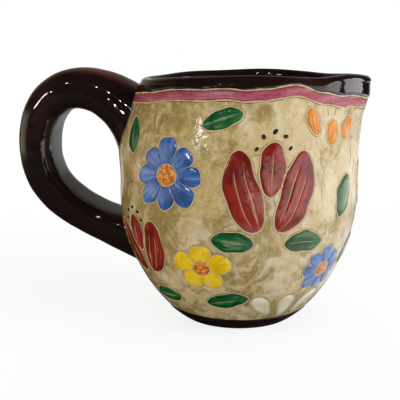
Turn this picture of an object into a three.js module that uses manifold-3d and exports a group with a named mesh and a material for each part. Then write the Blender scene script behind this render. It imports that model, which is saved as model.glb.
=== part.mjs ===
import * as THREE from "three";
import { mergeVertices } from "three/addons/utils/BufferGeometryUtils.js";
import Module from "manifold-3d";

// Coffee cup in stoneware: a thrown pot with a pulled lip and a strap handle, coated with pale slip
// that carries raised enamel flowers. Millimetres. The foot stands on z = 0, the handle is at -X and
// the lip at +X. A bearing is an angle round the pot in degrees: 0 faces -Y, 90 the lip, -90 the handle.

// Pot: section of the outer wall
const FOOT_RADIUS = 21;
const FOOT_FLARE = 15; // run of the bowl's first stretch, outwards
const FOOT_RISE = 8.4; // and upwards
const BELLY_RADIUS = 47;
const BELLY_HEIGHT = 53;
const BELLY_FULLNESS = 20; // length of the steep stretch below the belly
const SHOULDER_RUN = 15.4; // and above it
const SHOULDER_SLOPE = 0.07; // how fast the wall closes in there
const RIM_RADIUS = 41.8;
const RIM_HEIGHT = 97.9;
const RIM_TURN = 16.4; // length of the stretch that leans out to the rim
const RIM_LEAN = 0.76; // share of the rim's offset from the belly that it leans over
const WALL = 4.9;
const FLOOR = 6.5;
const FLOOR_RADIUS = 16;
const FLOOR_SWEEP = 14; // run of the curve from the floor into the wall

// Mouth: pushed over to one side and pulled into a lip
const RIM_SHIFT = 3.7;
const LIP_REACH = 4.6;
const LIP_SPREAD = 19;
const LIP_DIP = 1.9;
const LIP_LIFT = 1.2; // how far the lip's own edge turns up again
const LIP_BREADTH = 30;
const HANDLE_DIP = 2.4;
const RIM_THICKNESS = 5;
const RIM_ROLL = 0.5; // how far the rim band stands out from the slip

// Bands of glaze and slip, measured along the wall
const FOOT_BAND = 10;
const STRIPE = 3.6;
const COAT = 0.8; // thickness of the slip
const ENAMEL = 0.45; // thickness of an enamel cell at its edge
const ENAMEL_CROWN = 0.15; // how much its middle stands higher
const ENAMEL_BEVEL = 0.25; // how far its top edge is set in
const GAP = 0.3; // clearance between neighbouring solids
// Brushed lower edge of the rim band: bearing from the lip, and height of the band there
const RIM_BAND = [
  [0, 9], [30, 6.5], [46, 4.9], [60, 2.3], [76, 4.1], [84, 4.6],
  [92, 4.1], [104, 4.5], [120, 4.4], [140, 5.4], [180, 6],
];

// Handle: a strap that leaves the wall under the rim, arches out and comes back low on the bowl
const UPPER_ROOT_HEIGHT = 84.5; // where the strap's middle meets the wall
const UPPER_ROOT_RUN = 21; // first stretch of the strap, outwards
const UPPER_ROOT_CLIMB = 20.5; // and upwards
const UPPER_ROOT_SINK = 8; // how far its end runs on inside the wall, before it is trimmed
const LOWER_ROOT_HEIGHT = 31;
const LOWER_ROOT_RUN = 28;
const LOWER_ROOT_CLIMB = 11.5;
const LOWER_ROOT_SINK = 16;
const HANDLE_REACH = 34.9; // from the belly to the strap's middle
const HANDLE_HEIGHT = 70; // of the point that reaches furthest
const HANDLE_SHOULDER = 25; // length of the steep stretch above that point
const HANDLE_DROP = 22.5; // and below it
const STRAP_WIDTH = 24.5;
const STRAP_TOP = 16.8; // thickness where the strap leaves the upper root
const STRAP_LOW = 12; // and where it joins the lower one
const UPPER_FLARE = 10; // extra thickness at the roots
const LOWER_FLARE = 14;
const ROOT_SPREAD = 6; // extra width at the roots
const FLARE_LENGTH = 0.26; // share of the strap over which a root swells

const OUTER_ROUNDNESS = 0.85; // 1 is a full ellipse, less is squarer
const INNER_ROUNDNESS = 0.42; // on the side towards the pot

// Bearings
const LIP = 90;
const HANDLE = -90;

// Flower drawing, wrapped on the slip: one unit is about a millimetre on the belly
const UNIT_ANGLE = 1.22; // degrees round the belly
const DRAWING_HEIGHT = 94; // units from the foot band to the stripe
const TOP_ROW = DRAWING_HEIGHT - 12; // foot of the buds under the stripe

// Shapes of the flowers, in drawing units
const DAISY = { radius: 14, lobes: 8, notch: 0.32, eye: 4, enamel: "blue" };
const SMALL_DAISY = { radius: 10.5, lobes: 8, notch: 0.32, eye: 3.2, enamel: "blue" };
const STAR = { radius: 10.5, lobes: 5, notch: 0.45, eye: 3, enamel: "yellow" };
const TULIP_HEART = { length: 20, width: 9.5, sides: 12, point: 1.1, fullness: 0.2 };
const TULIP_WING = { length: 30, width: 13, sides: 12, bend: -7 };
const HEART_LIFT = 13; // from the foot of a tulip to the foot of its middle petal
const WING_ASIDE = 3.8; // from the middle of a tulip to the foot of a wing
const WING_SPLAY = 31; // degrees
const LEAF = { sides: 10, point: 1.3 };
const BUD = { length: 9.5, width: 5.5, sides: 8 };
const DROP = { length: 13, width: 5, sides: 10, fullness: 0.8 };

// Where they stand on one side of the pot: bearing in degrees, height in drawing units, tilt in degrees
const TULIPS = [
  { name: "tulip", bearing: 16, height: 46, tilt: 4, size: 1 },
  { name: "small_tulip", bearing: -49, height: 24, tilt: -6, size: 0.76 },
];
const ROSETTES = [
  { name: "daisy", bearing: -30, height: 66, shape: DAISY },
  { name: "small_daisy", bearing: 51, height: 27, shape: SMALL_DAISY },
  { name: "star", bearing: -14, height: 30, shape: STAR },
];
const LEAVES = [
  { bearing: 10, height: 41, tilt: -84, length: 15, width: 8.5 },
  { bearing: 24, height: 40, tilt: 86, length: 16, width: 8.5 },
  { bearing: -13, height: TOP_ROW + 3, tilt: 70, length: 15, width: 7 },
  { bearing: -54, height: 74, tilt: -12, length: 15, width: 8 },
  { bearing: -32, height: 13, tilt: -98, length: 15, width: 8 },
  { bearing: -14, height: 12, tilt: 75, length: 15, width: 8 },
  { bearing: 55, height: 50, tilt: 20, length: 18, width: 9 },
  { bearing: 68, height: 27, tilt: 42, length: 16, width: 8.5 },
];
const BUDS = [
  { bearing: 40, height: TOP_ROW, tilt: -15 },
  { bearing: 49, height: TOP_ROW - 3, tilt: 8 },
  { bearing: 58, height: TOP_ROW, tilt: 30 },
];
const DROPS = [
  { bearing: 24, height: 4, tilt: -28 },
  { bearing: 34, height: 2, tilt: 0 },
  { bearing: 44, height: 4, tilt: 28 },
];
// One more flower in the middle of the lip
const LIP_STAR = { name: "lip_star", bearing: LIP, height: 62, shape: STAR };

// Facets
const SEGMENTS = 56;
const WALL_ROWS = 9;
const INNER_ROWS = 7;
const BAND_ROWS = 2;
const RIM_ROWS = 4;
const STRAP_RINGS = 34;
const STRAP_SIDES = 20;
const EYE_SIDES = 10;
const LOBE_STOPS = [0, 0.26, 0.5, 0.74]; // shares of one lobe, from notch to notch
const CROWN_EDGE = 0.5; // share of the way out from a cell's middle that is level
const HEIGHT_TOLERANCE = 0.01;

const { degToRad, lerp, clamp, smoothstep } = THREE.MathUtils;
const vec2 = (x, y) => new THREE.Vector2(x, y);
const range = (count) => Array.from({ length: count }, (_, index) => index);

const wasm = await Module();
wasm.setup();

function bearingFromLip(bearing) {
  return Math.abs(THREE.MathUtils.euclideanModulo(bearing - LIP + 180, 360) - 180);
}

function rimPoint(bearing) {
  const fromLip = bearingFromLip(bearing);
  const toLip = Math.cos(degToRad(fromLip));
  const spout = LIP_REACH * Math.exp(-((fromLip / LIP_SPREAD) ** 2));
  const dip = (toLip > 0 ? LIP_DIP : HANDLE_DIP) * toLip ** 2;
  const lift = LIP_LIFT * Math.exp(-((fromLip / LIP_BREADTH) ** 4));
  return vec2(RIM_RADIUS + RIM_SHIFT * toLip + spout, RIM_HEIGHT - dip + lift);
}

function rimBand(bearing) {
  const fromLip = bearingFromLip(bearing);
  const next = Math.max(1, RIM_BAND.findIndex(([angle]) => angle >= fromLip));
  const [fromAngle, fromWidth] = RIM_BAND[next - 1];
  const [toAngle, toWidth] = RIM_BAND[next];
  return lerp(fromWidth, toWidth, smoothstep(fromLip, fromAngle, toAngle));
}

// Half section of the outer wall at a bearing, from the foot's edge to the rim
function wallCurve(bearing) {
  const rim = rimPoint(bearing);
  const foot = vec2(FOOT_RADIUS, 0);
  const belly = vec2(BELLY_RADIUS, BELLY_HEIGHT);
  const bowlOut = vec2(FOOT_RADIUS + FOOT_FLARE, FOOT_RISE);
  const underBelly = vec2(BELLY_RADIUS + SHOULDER_SLOPE * BELLY_FULLNESS, BELLY_HEIGHT - BELLY_FULLNESS);
  const overBelly = vec2(BELLY_RADIUS - SHOULDER_SLOPE * SHOULDER_RUN, BELLY_HEIGHT + SHOULDER_RUN);
  const underRim = vec2(lerp(rim.x, BELLY_RADIUS, RIM_LEAN), rim.y - RIM_TURN);
  const wall = new THREE.CurvePath();
  wall.add(new THREE.CubicBezierCurve(foot, bowlOut, underBelly, belly));
  wall.add(new THREE.CubicBezierCurve(belly, overBelly, underRim, rim));
  return wall;
}

// Point of the section at a length along the wall, moved out along the wall's normal
function offWall(wall, along, out) {
  const share = clamp(along / wall.getLength(), 0, 1);
  const tangent = wall.getTangent(share);
  return wall.getPoint(share).add(vec2(tangent.y, -tangent.x).multiplyScalar(out));
}

function alongAtHeight(wall, height) {
  const length = wall.getLength();
  let low = 0;
  let high = length;
  while (high - low > HEIGHT_TOLERANCE) {
    const middle = (low + high) / 2;
    if (wall.getPoint(middle / length).y < height) low = middle;
    else high = middle;
  }
  return low;
}

// Lengths along the wall at which the bands meet
function bandsAt(bearing, wall) {
  const rimEdge = wall.getLength() - rimBand(bearing);
  const stripeTop = rimEdge - GAP;
  const stripeFoot = stripeTop - STRIPE;
  return { rimEdge, stripeTop, stripeFoot, coatTop: stripeFoot - GAP, coatFoot: FOOT_BAND + GAP };
}

function strip(wall, from, to, rows, out) {
  return range(rows + 1).map((row) => offWall(wall, lerp(from, to, row / rows), out));
}

// A lathe turning whose section changes with the bearing
function turning(sectionAt) {
  const geometry = new THREE.LatheGeometry(sectionAt(0), SEGMENTS);
  const position = geometry.getAttribute("position");
  for (const turn of range(SEGMENTS + 1)) {
    const bearing = (turn * 360) / SEGMENTS;
    const section = sectionAt(bearing);
    section.forEach((point, row) => {
      const { x, y, z } = atBearing(bearing, point);
      position.setXYZ(turn * section.length + row, x, y, z);
    });
  }
  return geometry;
}

function atBearing(bearing, point) {
  const angle = degToRad(bearing);
  return new THREE.Vector3(point.x * Math.sin(angle), -point.x * Math.cos(angle), point.y);
}

// Solid between rings of points: closed by fans round two end points, or else joined end to end
function loft(rings, ends = []) {
  const sides = rings[0].length;
  const points = [...rings.flat(), ...ends];
  const spans = ends.length ? rings.length - 1 : rings.length;
  const faces = [];
  for (const side of range(sides)) {
    const next = (side + 1) % sides;
    for (const span of range(spans)) {
      const here = span * sides;
      const there = ((span + 1) % rings.length) * sides;
      faces.push(here + side, here + next, there + next, here + side, there + next, there + side);
    }
    if (ends.length) {
      const top = spans * sides;
      faces.push(points.length - 2, next, side, points.length - 1, top + side, top + next);
    }
  }
  const geometry = new THREE.BufferGeometry().setFromPoints(points);
  geometry.setIndex(faces);
  return geometry;
}

function middleOf(ring) {
  const sum = ring.reduce((total, point) => total.add(point), new THREE.Vector3());
  return sum.divideScalar(ring.length);
}

function solidOf(geometry) {
  const bare = geometry.clone();
  bare.deleteAttribute("normal");
  bare.deleteAttribute("uv");
  const merged = mergeVertices(bare);
  const vertProperties = merged.getAttribute("position").array;
  const triVerts = new Uint32Array(merged.index.array);
  return new wasm.Manifold(new wasm.Mesh({ numProp: 3, vertProperties, triVerts }));
}

function geometryOf(solid) {
  const { vertProperties, triVerts } = solid.getMesh();
  const geometry = new THREE.BufferGeometry();
  geometry.setAttribute("position", new THREE.BufferAttribute(vertProperties, 3));
  geometry.setIndex(new THREE.BufferAttribute(triVerts, 1));
  return geometry;
}

// Thrown pot: foot, rebate for the slip, rolled rim and hollow inside
function bodySection(bearing) {
  const wall = wallCurve(bearing);
  const { rimEdge } = bandsAt(bearing, wall);
  const rim = rimPoint(bearing);
  const half = RIM_THICKNESS / 2;
  const crown = vec2(rim.x + RIM_ROLL - half, rim.y - half);
  const crest = range(RIM_ROWS + 1).map((row) => {
    const angle = (Math.PI * row) / RIM_ROWS;
    return vec2(crown.x + half * Math.cos(angle), crown.y + half * Math.sin(angle));
  });
  return [
    vec2(0, 0),
    ...strip(wall, 0, FOOT_BAND, BAND_ROWS, 0),
    ...strip(wall, FOOT_BAND, rimEdge, WALL_ROWS, -COAT - GAP),
    offWall(wall, rimEdge, RIM_ROLL),
    ...crest,
    ...innerSection(crest[RIM_ROWS]),
    vec2(0, FLOOR),
  ];
}

function innerSection(rim) {
  const belly = vec2(BELLY_RADIUS - WALL, BELLY_HEIGHT);
  const underRim = vec2(lerp(rim.x, belly.x, RIM_LEAN), rim.y - RIM_TURN);
  const overBelly = vec2(belly.x, belly.y + SHOULDER_RUN);
  const underBelly = vec2(belly.x, belly.y - BELLY_FULLNESS);
  const sweep = vec2(FLOOR_RADIUS + FLOOR_SWEEP, FLOOR);
  const neck = new THREE.CubicBezierCurve(rim, underRim, overBelly, belly);
  const bowl = new THREE.CubicBezierCurve(belly, underBelly, sweep, vec2(FLOOR_RADIUS, FLOOR));
  return [...neck.getPoints(INNER_ROWS).slice(1), ...bowl.getPoints(INNER_ROWS).slice(1)];
}

// Everything inside the pot's outside, up past the rim: what the strap's ends are trimmed by
function trimSection(bearing) {
  const wall = wallCurve(bearing);
  const { rimEdge } = bandsAt(bearing, wall);
  const rim = rimPoint(bearing);
  const overRim = rim.y + STRAP_TOP;
  return [
    vec2(0, 0),
    ...strip(wall, 0, rimEdge - GAP, WALL_ROWS + BAND_ROWS, -COAT),
    offWall(wall, rimEdge - GAP, RIM_ROLL + GAP),
    vec2(rim.x + RIM_ROLL + GAP, rim.y),
    vec2(rim.x + RIM_ROLL + GAP, overRim),
    vec2(0, overRim),
  ];
}

// Thin band of slip between two lengths along the wall
function bandSection(wall, from, to, rows) {
  const outer = strip(wall, from, to, rows, 0);
  const inner = strip(wall, from, to, rows, -COAT).reverse();
  return [...outer, ...inner, outer[0].clone()];
}

function coatSection(bearing) {
  const wall = wallCurve(bearing);
  const { coatFoot, coatTop } = bandsAt(bearing, wall);
  return bandSection(wall, coatFoot, coatTop, WALL_ROWS);
}

function stripeSection(bearing) {
  const wall = wallCurve(bearing);
  const { stripeFoot, stripeTop } = bandsAt(bearing, wall);
  return bandSection(wall, stripeFoot, stripeTop, 1);
}

// Middle line of the strap in the plane of the handle: x is the distance from the pot's axis
function strapSpine() {
  const wall = wallCurve(HANDLE);
  const wallAt = (height) => offWall(wall, alongAtHeight(wall, height), 0);
  const upperWay = vec2(UPPER_ROOT_RUN, UPPER_ROOT_CLIMB);
  const lowerWay = vec2(LOWER_ROOT_RUN, LOWER_ROOT_CLIMB);
  const upper = wallAt(UPPER_ROOT_HEIGHT).sub(upperWay.clone().setLength(UPPER_ROOT_SINK));
  const lower = wallAt(LOWER_ROOT_HEIGHT).sub(lowerWay.clone().setLength(LOWER_ROOT_SINK));
  const outermost = vec2(BELLY_RADIUS + HANDLE_REACH, HANDLE_HEIGHT);
  const climb = upper.clone().add(upperWay);
  const shoulder = vec2(outermost.x, outermost.y + HANDLE_SHOULDER);
  const drop = vec2(outermost.x, outermost.y - HANDLE_DROP);
  const landing = lower.clone().add(lowerWay);
  const spine = new THREE.CurvePath();
  spine.add(new THREE.CubicBezierCurve(upper, climb, shoulder, outermost));
  spine.add(new THREE.CubicBezierCurve(outermost, drop, landing, lower));
  return spine;
}

// Strap with swelling roots; its outer side is rounder than the side towards the pot
function strapGeometry(swell) {
  const spine = strapSpine();
  const rings = range(STRAP_RINGS + 1).map((ring) => {
    const share = ring / STRAP_RINGS;
    const centre = spine.getPoint(share);
    const tangent = spine.getTangent(share);
    const normal = vec2(-tangent.y, tangent.x);
    const upperRoot = Math.max(0, 1 - share / FLARE_LENGTH) ** 2;
    const lowerRoot = Math.max(0, 1 - (1 - share) / FLARE_LENGTH) ** 2;
    const flare = UPPER_FLARE * upperRoot + LOWER_FLARE * lowerRoot;
    const thick = (lerp(STRAP_TOP, STRAP_LOW, share) + flare) / 2 + swell;
    const wide = (STRAP_WIDTH + ROOT_SPREAD * (upperRoot + lowerRoot)) / 2 + swell;
    const inner = lerp(INNER_ROUNDNESS, OUTER_ROUNDNESS, upperRoot + lowerRoot);
    return range(STRAP_SIDES).map((side) => {
      const angle = (2 * Math.PI * side) / STRAP_SIDES;
      const squareness = Math.cos(angle) > 0 ? OUTER_ROUNDNESS : inner;
      const across = thick * squashed(Math.cos(angle), squareness);
      const aside = wide * squashed(Math.sin(angle), squareness);
      const point = centre.clone().addScaledVector(normal, across);
      return atBearing(HANDLE, point).add(new THREE.Vector3(0, aside, 0));
    });
  });
  return loft(rings, [middleOf(rings[0]), middleOf(rings[STRAP_RINGS])]);
}

function squashed(value, power) {
  return Math.sign(value) * Math.abs(value) ** power;
}

// Point of the drawing on the slip: x and y in units from a motif's centre
function onSlip(motif, x, y, out) {
  const { bearing, height } = motif;
  const turn = degToRad(motif.tilt ?? 0);
  const right = x * Math.cos(turn) + y * Math.sin(turn);
  const up = y * Math.cos(turn) - x * Math.sin(turn);
  const centreRadius = slipPoint(bearing, height, 0).x;
  const here = bearing + (right * UNIT_ANGLE * BELLY_RADIUS) / centreRadius;
  return atBearing(here, slipPoint(here, height + up, out));
}

function slipPoint(bearing, height, out) {
  const wall = wallCurve(bearing);
  const { coatFoot, coatTop } = bandsAt(bearing, wall);
  return offWall(wall, lerp(coatFoot, coatTop, height / DRAWING_HEIGHT), out);
}

// Outlines in drawing units, counter-clockwise
function petalOutline({ length, width, sides, point = 1, fullness = 0, bend = 0 }) {
  return range(sides).map((side) => {
    const angle = (2 * Math.PI * side) / sides;
    const share = (1 - Math.cos(angle)) / 2;
    const half = (width / 2) * (1 + fullness * (share - 0.5));
    return vec2(half * squashed(Math.sin(angle), point) + bend * share ** 2, length * share);
  });
}

// Round lobes with sharp notches between them
function rosetteOutline({ radius, lobes, notch }) {
  return range(lobes).flatMap((lobe) => LOBE_STOPS.map((stop) => {
    const angle = (2 * Math.PI * (lobe + stop - 0.5)) / lobes;
    const reach = radius * (1 - notch * (1 - Math.sqrt(Math.sin(Math.PI * stop))));
    return vec2(-reach * Math.sin(angle), reach * Math.cos(angle));
  }));
}

function inset(outline, centre, distance) {
  return outline.map((point) => {
    const arm = point.clone().sub(centre);
    return centre.clone().add(arm.setLength(arm.length() - distance));
  });
}

// Raised cell of enamel: a bevelled pillow on the slip inside an outline
function enamelCell(motif, outline) {
  const middle = middleOf(outline.map((point) => new THREE.Vector3(point.x, point.y, 0)));
  const centre = vec2(middle.x, middle.y);
  const level = outline.map((point) => centre.clone().lerp(point, CROWN_EDGE));
  const onWall = (point, out) => onSlip(motif, point.x, point.y, out);
  const ringAt = (points, out) => points.map((point) => onWall(point, out));
  const crown = GAP + ENAMEL + ENAMEL_CROWN;
  const rings = [
    ringAt(level, GAP),
    ringAt(outline, GAP),
    ringAt(inset(outline, centre, ENAMEL_BEVEL), GAP + ENAMEL),
    ringAt(level, crown),
  ];
  return loft(rings, [onWall(centre, GAP), onWall(centre, crown)]);
}

// The same round a hole in the middle
function enamelRing(motif, outline, hole) {
  const bore = outline.map((point) => point.clone().setLength(hole));
  const boreTop = outline.map((point) => point.clone().setLength(hole + ENAMEL_BEVEL));
  const ringAt = (points, out) => points.map((point) => onSlip(motif, point.x, point.y, out));
  return loft([
    ringAt(bore, GAP),
    ringAt(outline, GAP),
    ringAt(inset(outline, vec2(0, 0), ENAMEL_BEVEL), GAP + ENAMEL),
    ringAt(boreTop, GAP + ENAMEL),
  ]);
}

const finish = (color, roughness) => new THREE.MeshStandardMaterial({ color, roughness, metalness: 0 });
const darkGlaze = finish("#1c100d", 0.12);
const slip = finish("#c3ad7c", 0.45);
const crimson = finish("#972a4c", 0.3);
const enamels = {
  red: finish("#96301f", 0.25),
  blue: finish("#3d66b4", 0.25),
  yellow: finish("#e0c020", 0.25),
  orange: finish("#de9418", 0.25),
  green: finish("#23582f", 0.25),
  white: finish("#d9cfb2", 0.3),
};

const cup = new THREE.Group();

function addPiece(name, geometry, material) {
  geometry.computeVertexNormals();
  const piece = new THREE.Mesh(geometry, material);
  piece.name = name;
  cup.add(piece);
}

function addPetal(name, motif, shape, material) {
  addPiece(name, enamelCell(motif, petalOutline(shape)), material);
}

function addRosette(name, motif, shape) {
  const { eye, enamel } = shape;
  addPiece(`${name}_petals`, enamelRing(motif, rosetteOutline(shape), eye + GAP), enamels[enamel]);
  const round = petalOutline({ length: 2 * eye, width: 2 * eye, sides: EYE_SIDES });
  const eyeOutline = round.map((point) => vec2(point.x, point.y - eye));
  addPiece(`${name}_eye`, enamelCell(motif, eyeOutline), enamels.orange);
}

function addTulip(name, motif, size) {
  const heart = petalOutline(TULIP_HEART).map((point) => point.add(vec2(0, HEART_LIFT)));
  const wing = (hand) => {
    const outline = petalOutline({ ...TULIP_WING, bend: hand * TULIP_WING.bend });
    const splay = -hand * degToRad(WING_SPLAY);
    const foot = vec2(hand * WING_ASIDE, 0);
    return outline.map((point) => point.rotateAround(vec2(0, 0), splay).add(foot));
  };
  for (const [part, outline] of [["heart", heart], ["left_wing", wing(-1)], ["right_wing", wing(1)]]) {
    const sized = outline.map((point) => point.multiplyScalar(size));
    addPiece(`${name}_${part}`, enamelCell(motif, sized), enamels.red);
  }
}

addPiece("cup_body", turning(bodySection), darkGlaze);
const trimmed = solidOf(strapGeometry(0)).subtract(solidOf(turning(trimSection)));
addPiece("handle", geometryOf(trimmed), darkGlaze);
const rootClearance = solidOf(strapGeometry(GAP));
addPiece("slip_coat", geometryOf(solidOf(turning(coatSection)).subtract(rootClearance)), slip);
addPiece("rim_stripe", geometryOf(solidOf(turning(stripeSection)).subtract(rootClearance)), crimson);

// One side faces bearing 0, and the other mirrors it across the plane of handle and lip
const mirrored = ({ bearing, height, tilt = 0 }) => ({ bearing: 180 - bearing, height, tilt: -tilt });
for (const [side, placed] of [["front", (motif) => motif], ["back", mirrored]]) {
  for (const tulip of TULIPS) addTulip(`${side}_${tulip.name}`, placed(tulip), tulip.size);
  for (const rosette of ROSETTES) addRosette(`${side}_${rosette.name}`, placed(rosette), rosette.shape);
  LEAVES.forEach((leaf, index) => {
    addPetal(`${side}_leaf_${index + 1}`, placed(leaf), { ...LEAF, ...leaf }, enamels.green);
  });
  BUDS.forEach((bud, index) => {
    addPetal(`${side}_bud_${index + 1}`, placed(bud), BUD, enamels.orange);
  });
  DROPS.forEach((drop, index) => {
    addPetal(`${side}_drop_${index + 1}`, placed(drop), DROP, enamels.white);
  });
}
addRosette(LIP_STAR.name, LIP_STAR, LIP_STAR.shape);

export default cup;
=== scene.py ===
import math

import bmesh
import bpy
import numpy as np
from bpy.props import FloatProperty, FloatVectorProperty, PointerProperty
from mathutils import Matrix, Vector


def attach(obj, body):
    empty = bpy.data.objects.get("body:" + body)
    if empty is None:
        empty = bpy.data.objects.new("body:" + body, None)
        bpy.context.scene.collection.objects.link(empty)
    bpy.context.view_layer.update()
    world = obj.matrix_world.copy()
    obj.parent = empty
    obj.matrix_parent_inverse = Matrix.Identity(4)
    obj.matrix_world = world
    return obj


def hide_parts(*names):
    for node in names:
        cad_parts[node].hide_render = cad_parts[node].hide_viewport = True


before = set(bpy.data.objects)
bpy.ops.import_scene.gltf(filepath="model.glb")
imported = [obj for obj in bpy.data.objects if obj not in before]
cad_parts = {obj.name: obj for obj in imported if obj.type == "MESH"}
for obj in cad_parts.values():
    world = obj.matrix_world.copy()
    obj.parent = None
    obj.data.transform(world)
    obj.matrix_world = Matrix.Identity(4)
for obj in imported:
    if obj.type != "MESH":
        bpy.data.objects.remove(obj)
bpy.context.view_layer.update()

bl_info = {
    "name": "Stoneware Coffee Cup",
    "version": (1, 0, 0),
    "blender": (4, 5, 0),
    "location": "View3D > Sidebar > Cup",
    "description": "Builds a hand-thrown cup with enamel flowers, and a stage for it",
    "category": "Add Mesh",
}

# The foot stands on z = 0, the handle is at -X and the lip at +X. A bearing is an angle round the
# pot in degrees: 0 faces -Y, 90 the lip and -90 the handle. Lengths are metres.
MM = 0.001
LIP = 90.0
HANDLE = -90.0

# Brushed lower edge of the rim band: bearing from the lip, and height of the band in millimetres
RIM_BAND = np.array(
    [(0, 9), (30, 6.5), (46, 4.9), (60, 2.3), (76, 4.1), (84, 4.6)]
    + [(92, 4.1), (104, 4.5), (120, 4.4), (140, 5.4), (180, 6)]
)

# The flower drawing is wrapped on the slip. One unit is about a millimetre on the belly.
UNIT_ANGLE = 1.22
DRAWING_HEIGHT = 94.0
TOP_ROW = DRAWING_HEIGHT - 12.0

DAISY = {"radius": 14.0, "lobes": 8, "notch": 0.32, "eye": 4.0}
SMALL_DAISY = {"radius": 10.5, "lobes": 8, "notch": 0.32, "eye": 3.2}
STAR = {"radius": 10.5, "lobes": 5, "notch": 0.45, "eye": 3.0}
TULIP_HEART = {"long": 20.0, "wide": 9.5, "point": 1.1, "fullness": 0.2}
TULIP_WING = {"long": 30.0, "wide": 13.0, "bend": 7.0}
HEART_LIFT = 13.0
WING_ASIDE = 3.8
WING_SPLAY = math.radians(31)
# Seeds over a tulip's heart: x, y and radius in drawing units
TULIP_SEEDS = [
    (-6.2, 30.5, 0.8),
    (-4.0, 35.0, 0.9),
    (0.2, 36.8, 1.0),
    (4.3, 34.6, 0.9),
    (6.4, 30.2, 0.8),
]
BUD = {"long": 9.5, "wide": 5.5}
DROP = {"long": 13.0, "wide": 5.0, "fullness": 0.8}
LEAF_POINT = 1.3
# Lines cut along a petal, by their places across it from -1 to 1
TULIP_CUTS = {"heart": (0.0,), "left_wing": (-0.25, 0.4), "right_wing": (-0.4, 0.25)}
LEAF_CUTS = (0.0,)
BUD_CUTS = (-0.35, 0.35)
DROP_CUTS = ()

# Where the flowers stand on one side. A tulip has its bearing, height in drawing units, tilt in
# degrees and size, and a rosette its bearing, height, form and enamel.
TULIPS = {"tulip": (16, 46, 4, 1.0), "small_tulip": (-49, 24, -6, 0.76)}
ROSETTES = {
    "daisy": (-30, 66, DAISY, "blue"),
    "small_daisy": (51, 27, SMALL_DAISY, "blue"),
    "star": (-14, 30, STAR, "yellow"),
}
LIP_STAR = (LIP, 62, STAR, "yellow")
# A leaf has its bearing, height, tilt, length and width, and a bud or drop the first three
LEAVES = [
    (10, 41, -84, 15, 8.5),
    (24, 40, 86, 16, 8.5),
    (-13, TOP_ROW + 3, 70, 15, 7),
    (-54, 74, -12, 15, 8),
    (-32, 13, -98, 15, 8),
    (-14, 12, 75, 15, 8),
    (55, 50, 20, 18, 9),
    (68, 27, 42, 16, 8.5),
]
BUDS = [(40, TOP_ROW, -15), (49, TOP_ROW - 3, 8), (58, TOP_ROW, 30)]
DROPS = [(24, 4, -28), (34, 2, 0), (44, 4, 28)]

# Stems, scratched through the slip: points of bearing and height on one side
STEMS = [
    [(17, 46), (16, 38), (12, 28), (6, 20), (4, 14)],
    [(-49, 23), (-47, 17), (-42, 11), (-34, 9)],
    [(-27, 51), (-24, 46), (-22, 42)],
    [(49, TOP_ROW - 4), (47, 72), (43, 66), (42, 58)],
    [(40, TOP_ROW - 1), (42, 75), (46, 71)],
    [(58, TOP_ROW - 1), (54, 75), (47.5, 72)],
    [(55, 49), (53, 44), (52, 39)],
    [(67, 26), (64, 24), (61.5, 24)],
    [(-54, 73), (-50, 69), (-46, 67)],
    [(-14, 84), (-19, 80), (-23, 78)],
]
# Short strokes scratched round the buds and petals: bearing, height, tilt and length
STROKES = [
    (36, 91, -28, 5), (39.5, 92, -12, 4), (47, 90, -8, 5), (51, 90, 12, 5), (59, 91, 16, 4),
    (64.5, 90, 38, 5), (-58, 55, 10, 7), (-62, 57, -6, 6), (-55, 52, 24, 6), (2, 62, -14, 6),
    (0, 57, -30, 5), (33, 64, 22, 6), (36, 60, 38, 5), (-2, 20, 30, 5), (14, 10, -20, 6),
]
# Fine stained scratches in the slip: bearing, height, tilt and length
HAIRLINES = [
    (-48, 86, 4, 6), (-44, 82, 1, 9), (-40, 84, -3, 8), (-36.5, 81, 4, 7), (-58, 62, 82, 6),
    (-60, 44, 74, 6), (-63, 34, 80, 6), (-8, 50, 64, 7), (-4, 47, 58, 8), (-40, 36, 30, 6),
    (-37, 34, 36, 6), (32, 88, 70, 9), (66, 70, -8, 9), (70, 66, -4, 8), (73, 62, 3, 9),
    (63, 60, 12, 7), (30, 12, 62, 8), (-3, 6, 80, 8), (40, 14, 50, 6), (5, 74, 76, 8),
]
# Strokes and hairlines: how fast they curl, shares of the line's width and burr, and stain
SCRATCHES = [(STROKES, 0.06, 0.7, 1.0, False), (HAIRLINES, 0.05, 0.42, 0.5, True)]
# Stems, and the lines along the stripe: shares of the line's width and of its burr
STEM_WIDTH = 0.8
STRIPE_WIDTH = 1.1
STRIPE_BURR = 2.0
# How far above each edge of the stripe its line lies
STRIPE_LINES = {"stripe_foot": -0.2 * MM, "stripe_top": 0.1 * MM}

# Fineness of the meshes
TABLE_STEP = 2.0
TABLE_ROWS = 240
WALL_STEPS = 80
TURN_COLUMNS = 360
FOOT_ROWS, HEEL_STEPS, FOOT_BAND_ROWS, BACKING_ROWS = 6, 4, 12, 40
RIM_BAND_ROWS, ROLL_ROWS = 10, 14
NECK_STEPS, BOWL_STEPS, FLOOR_ROWS = 26, 34, 8
COAT_ROWS = 150
STRIPE_ROWS = 14
STRAP_STEPS = 200
STRAP_RINGS = 150
STRAP_SIDES = 64
PETAL_ROWS = 36
EYE_SIDES, EYE_RINGS = 40, 12
SEED_SIDES, SEED_RINGS = 14, 6
STEM_STEPS = 24
SCRATCH_STEPS = 10
# Points closer than this are joined
WELD = 0.002 * MM

# Waves of the hand-raised wall: share, how fast they turn round the pot and up it, and phase
WALL_WAVES = [(0.45, 2, 0.6, 0.8), (0.3, 3, -1.1, 2.1), (0.25, 5, 1.7, 0.0)]
# Length up the wall of one radian of a wave, and over which the waves set in above the foot
WAVE_RISE = 0.018
STEADY_FOOT = 0.02
# Where the wall is pushed out, under the lip and under the upper root: how far, bearing from the
# lip and its spread in degrees, and way down from the rim and its spread in millimetres
WALL_PUSHES = [(0.9 * MM, 0, 22, 8, 5), (2.2 * MM, 180, 26, 27, 9)]
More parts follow.
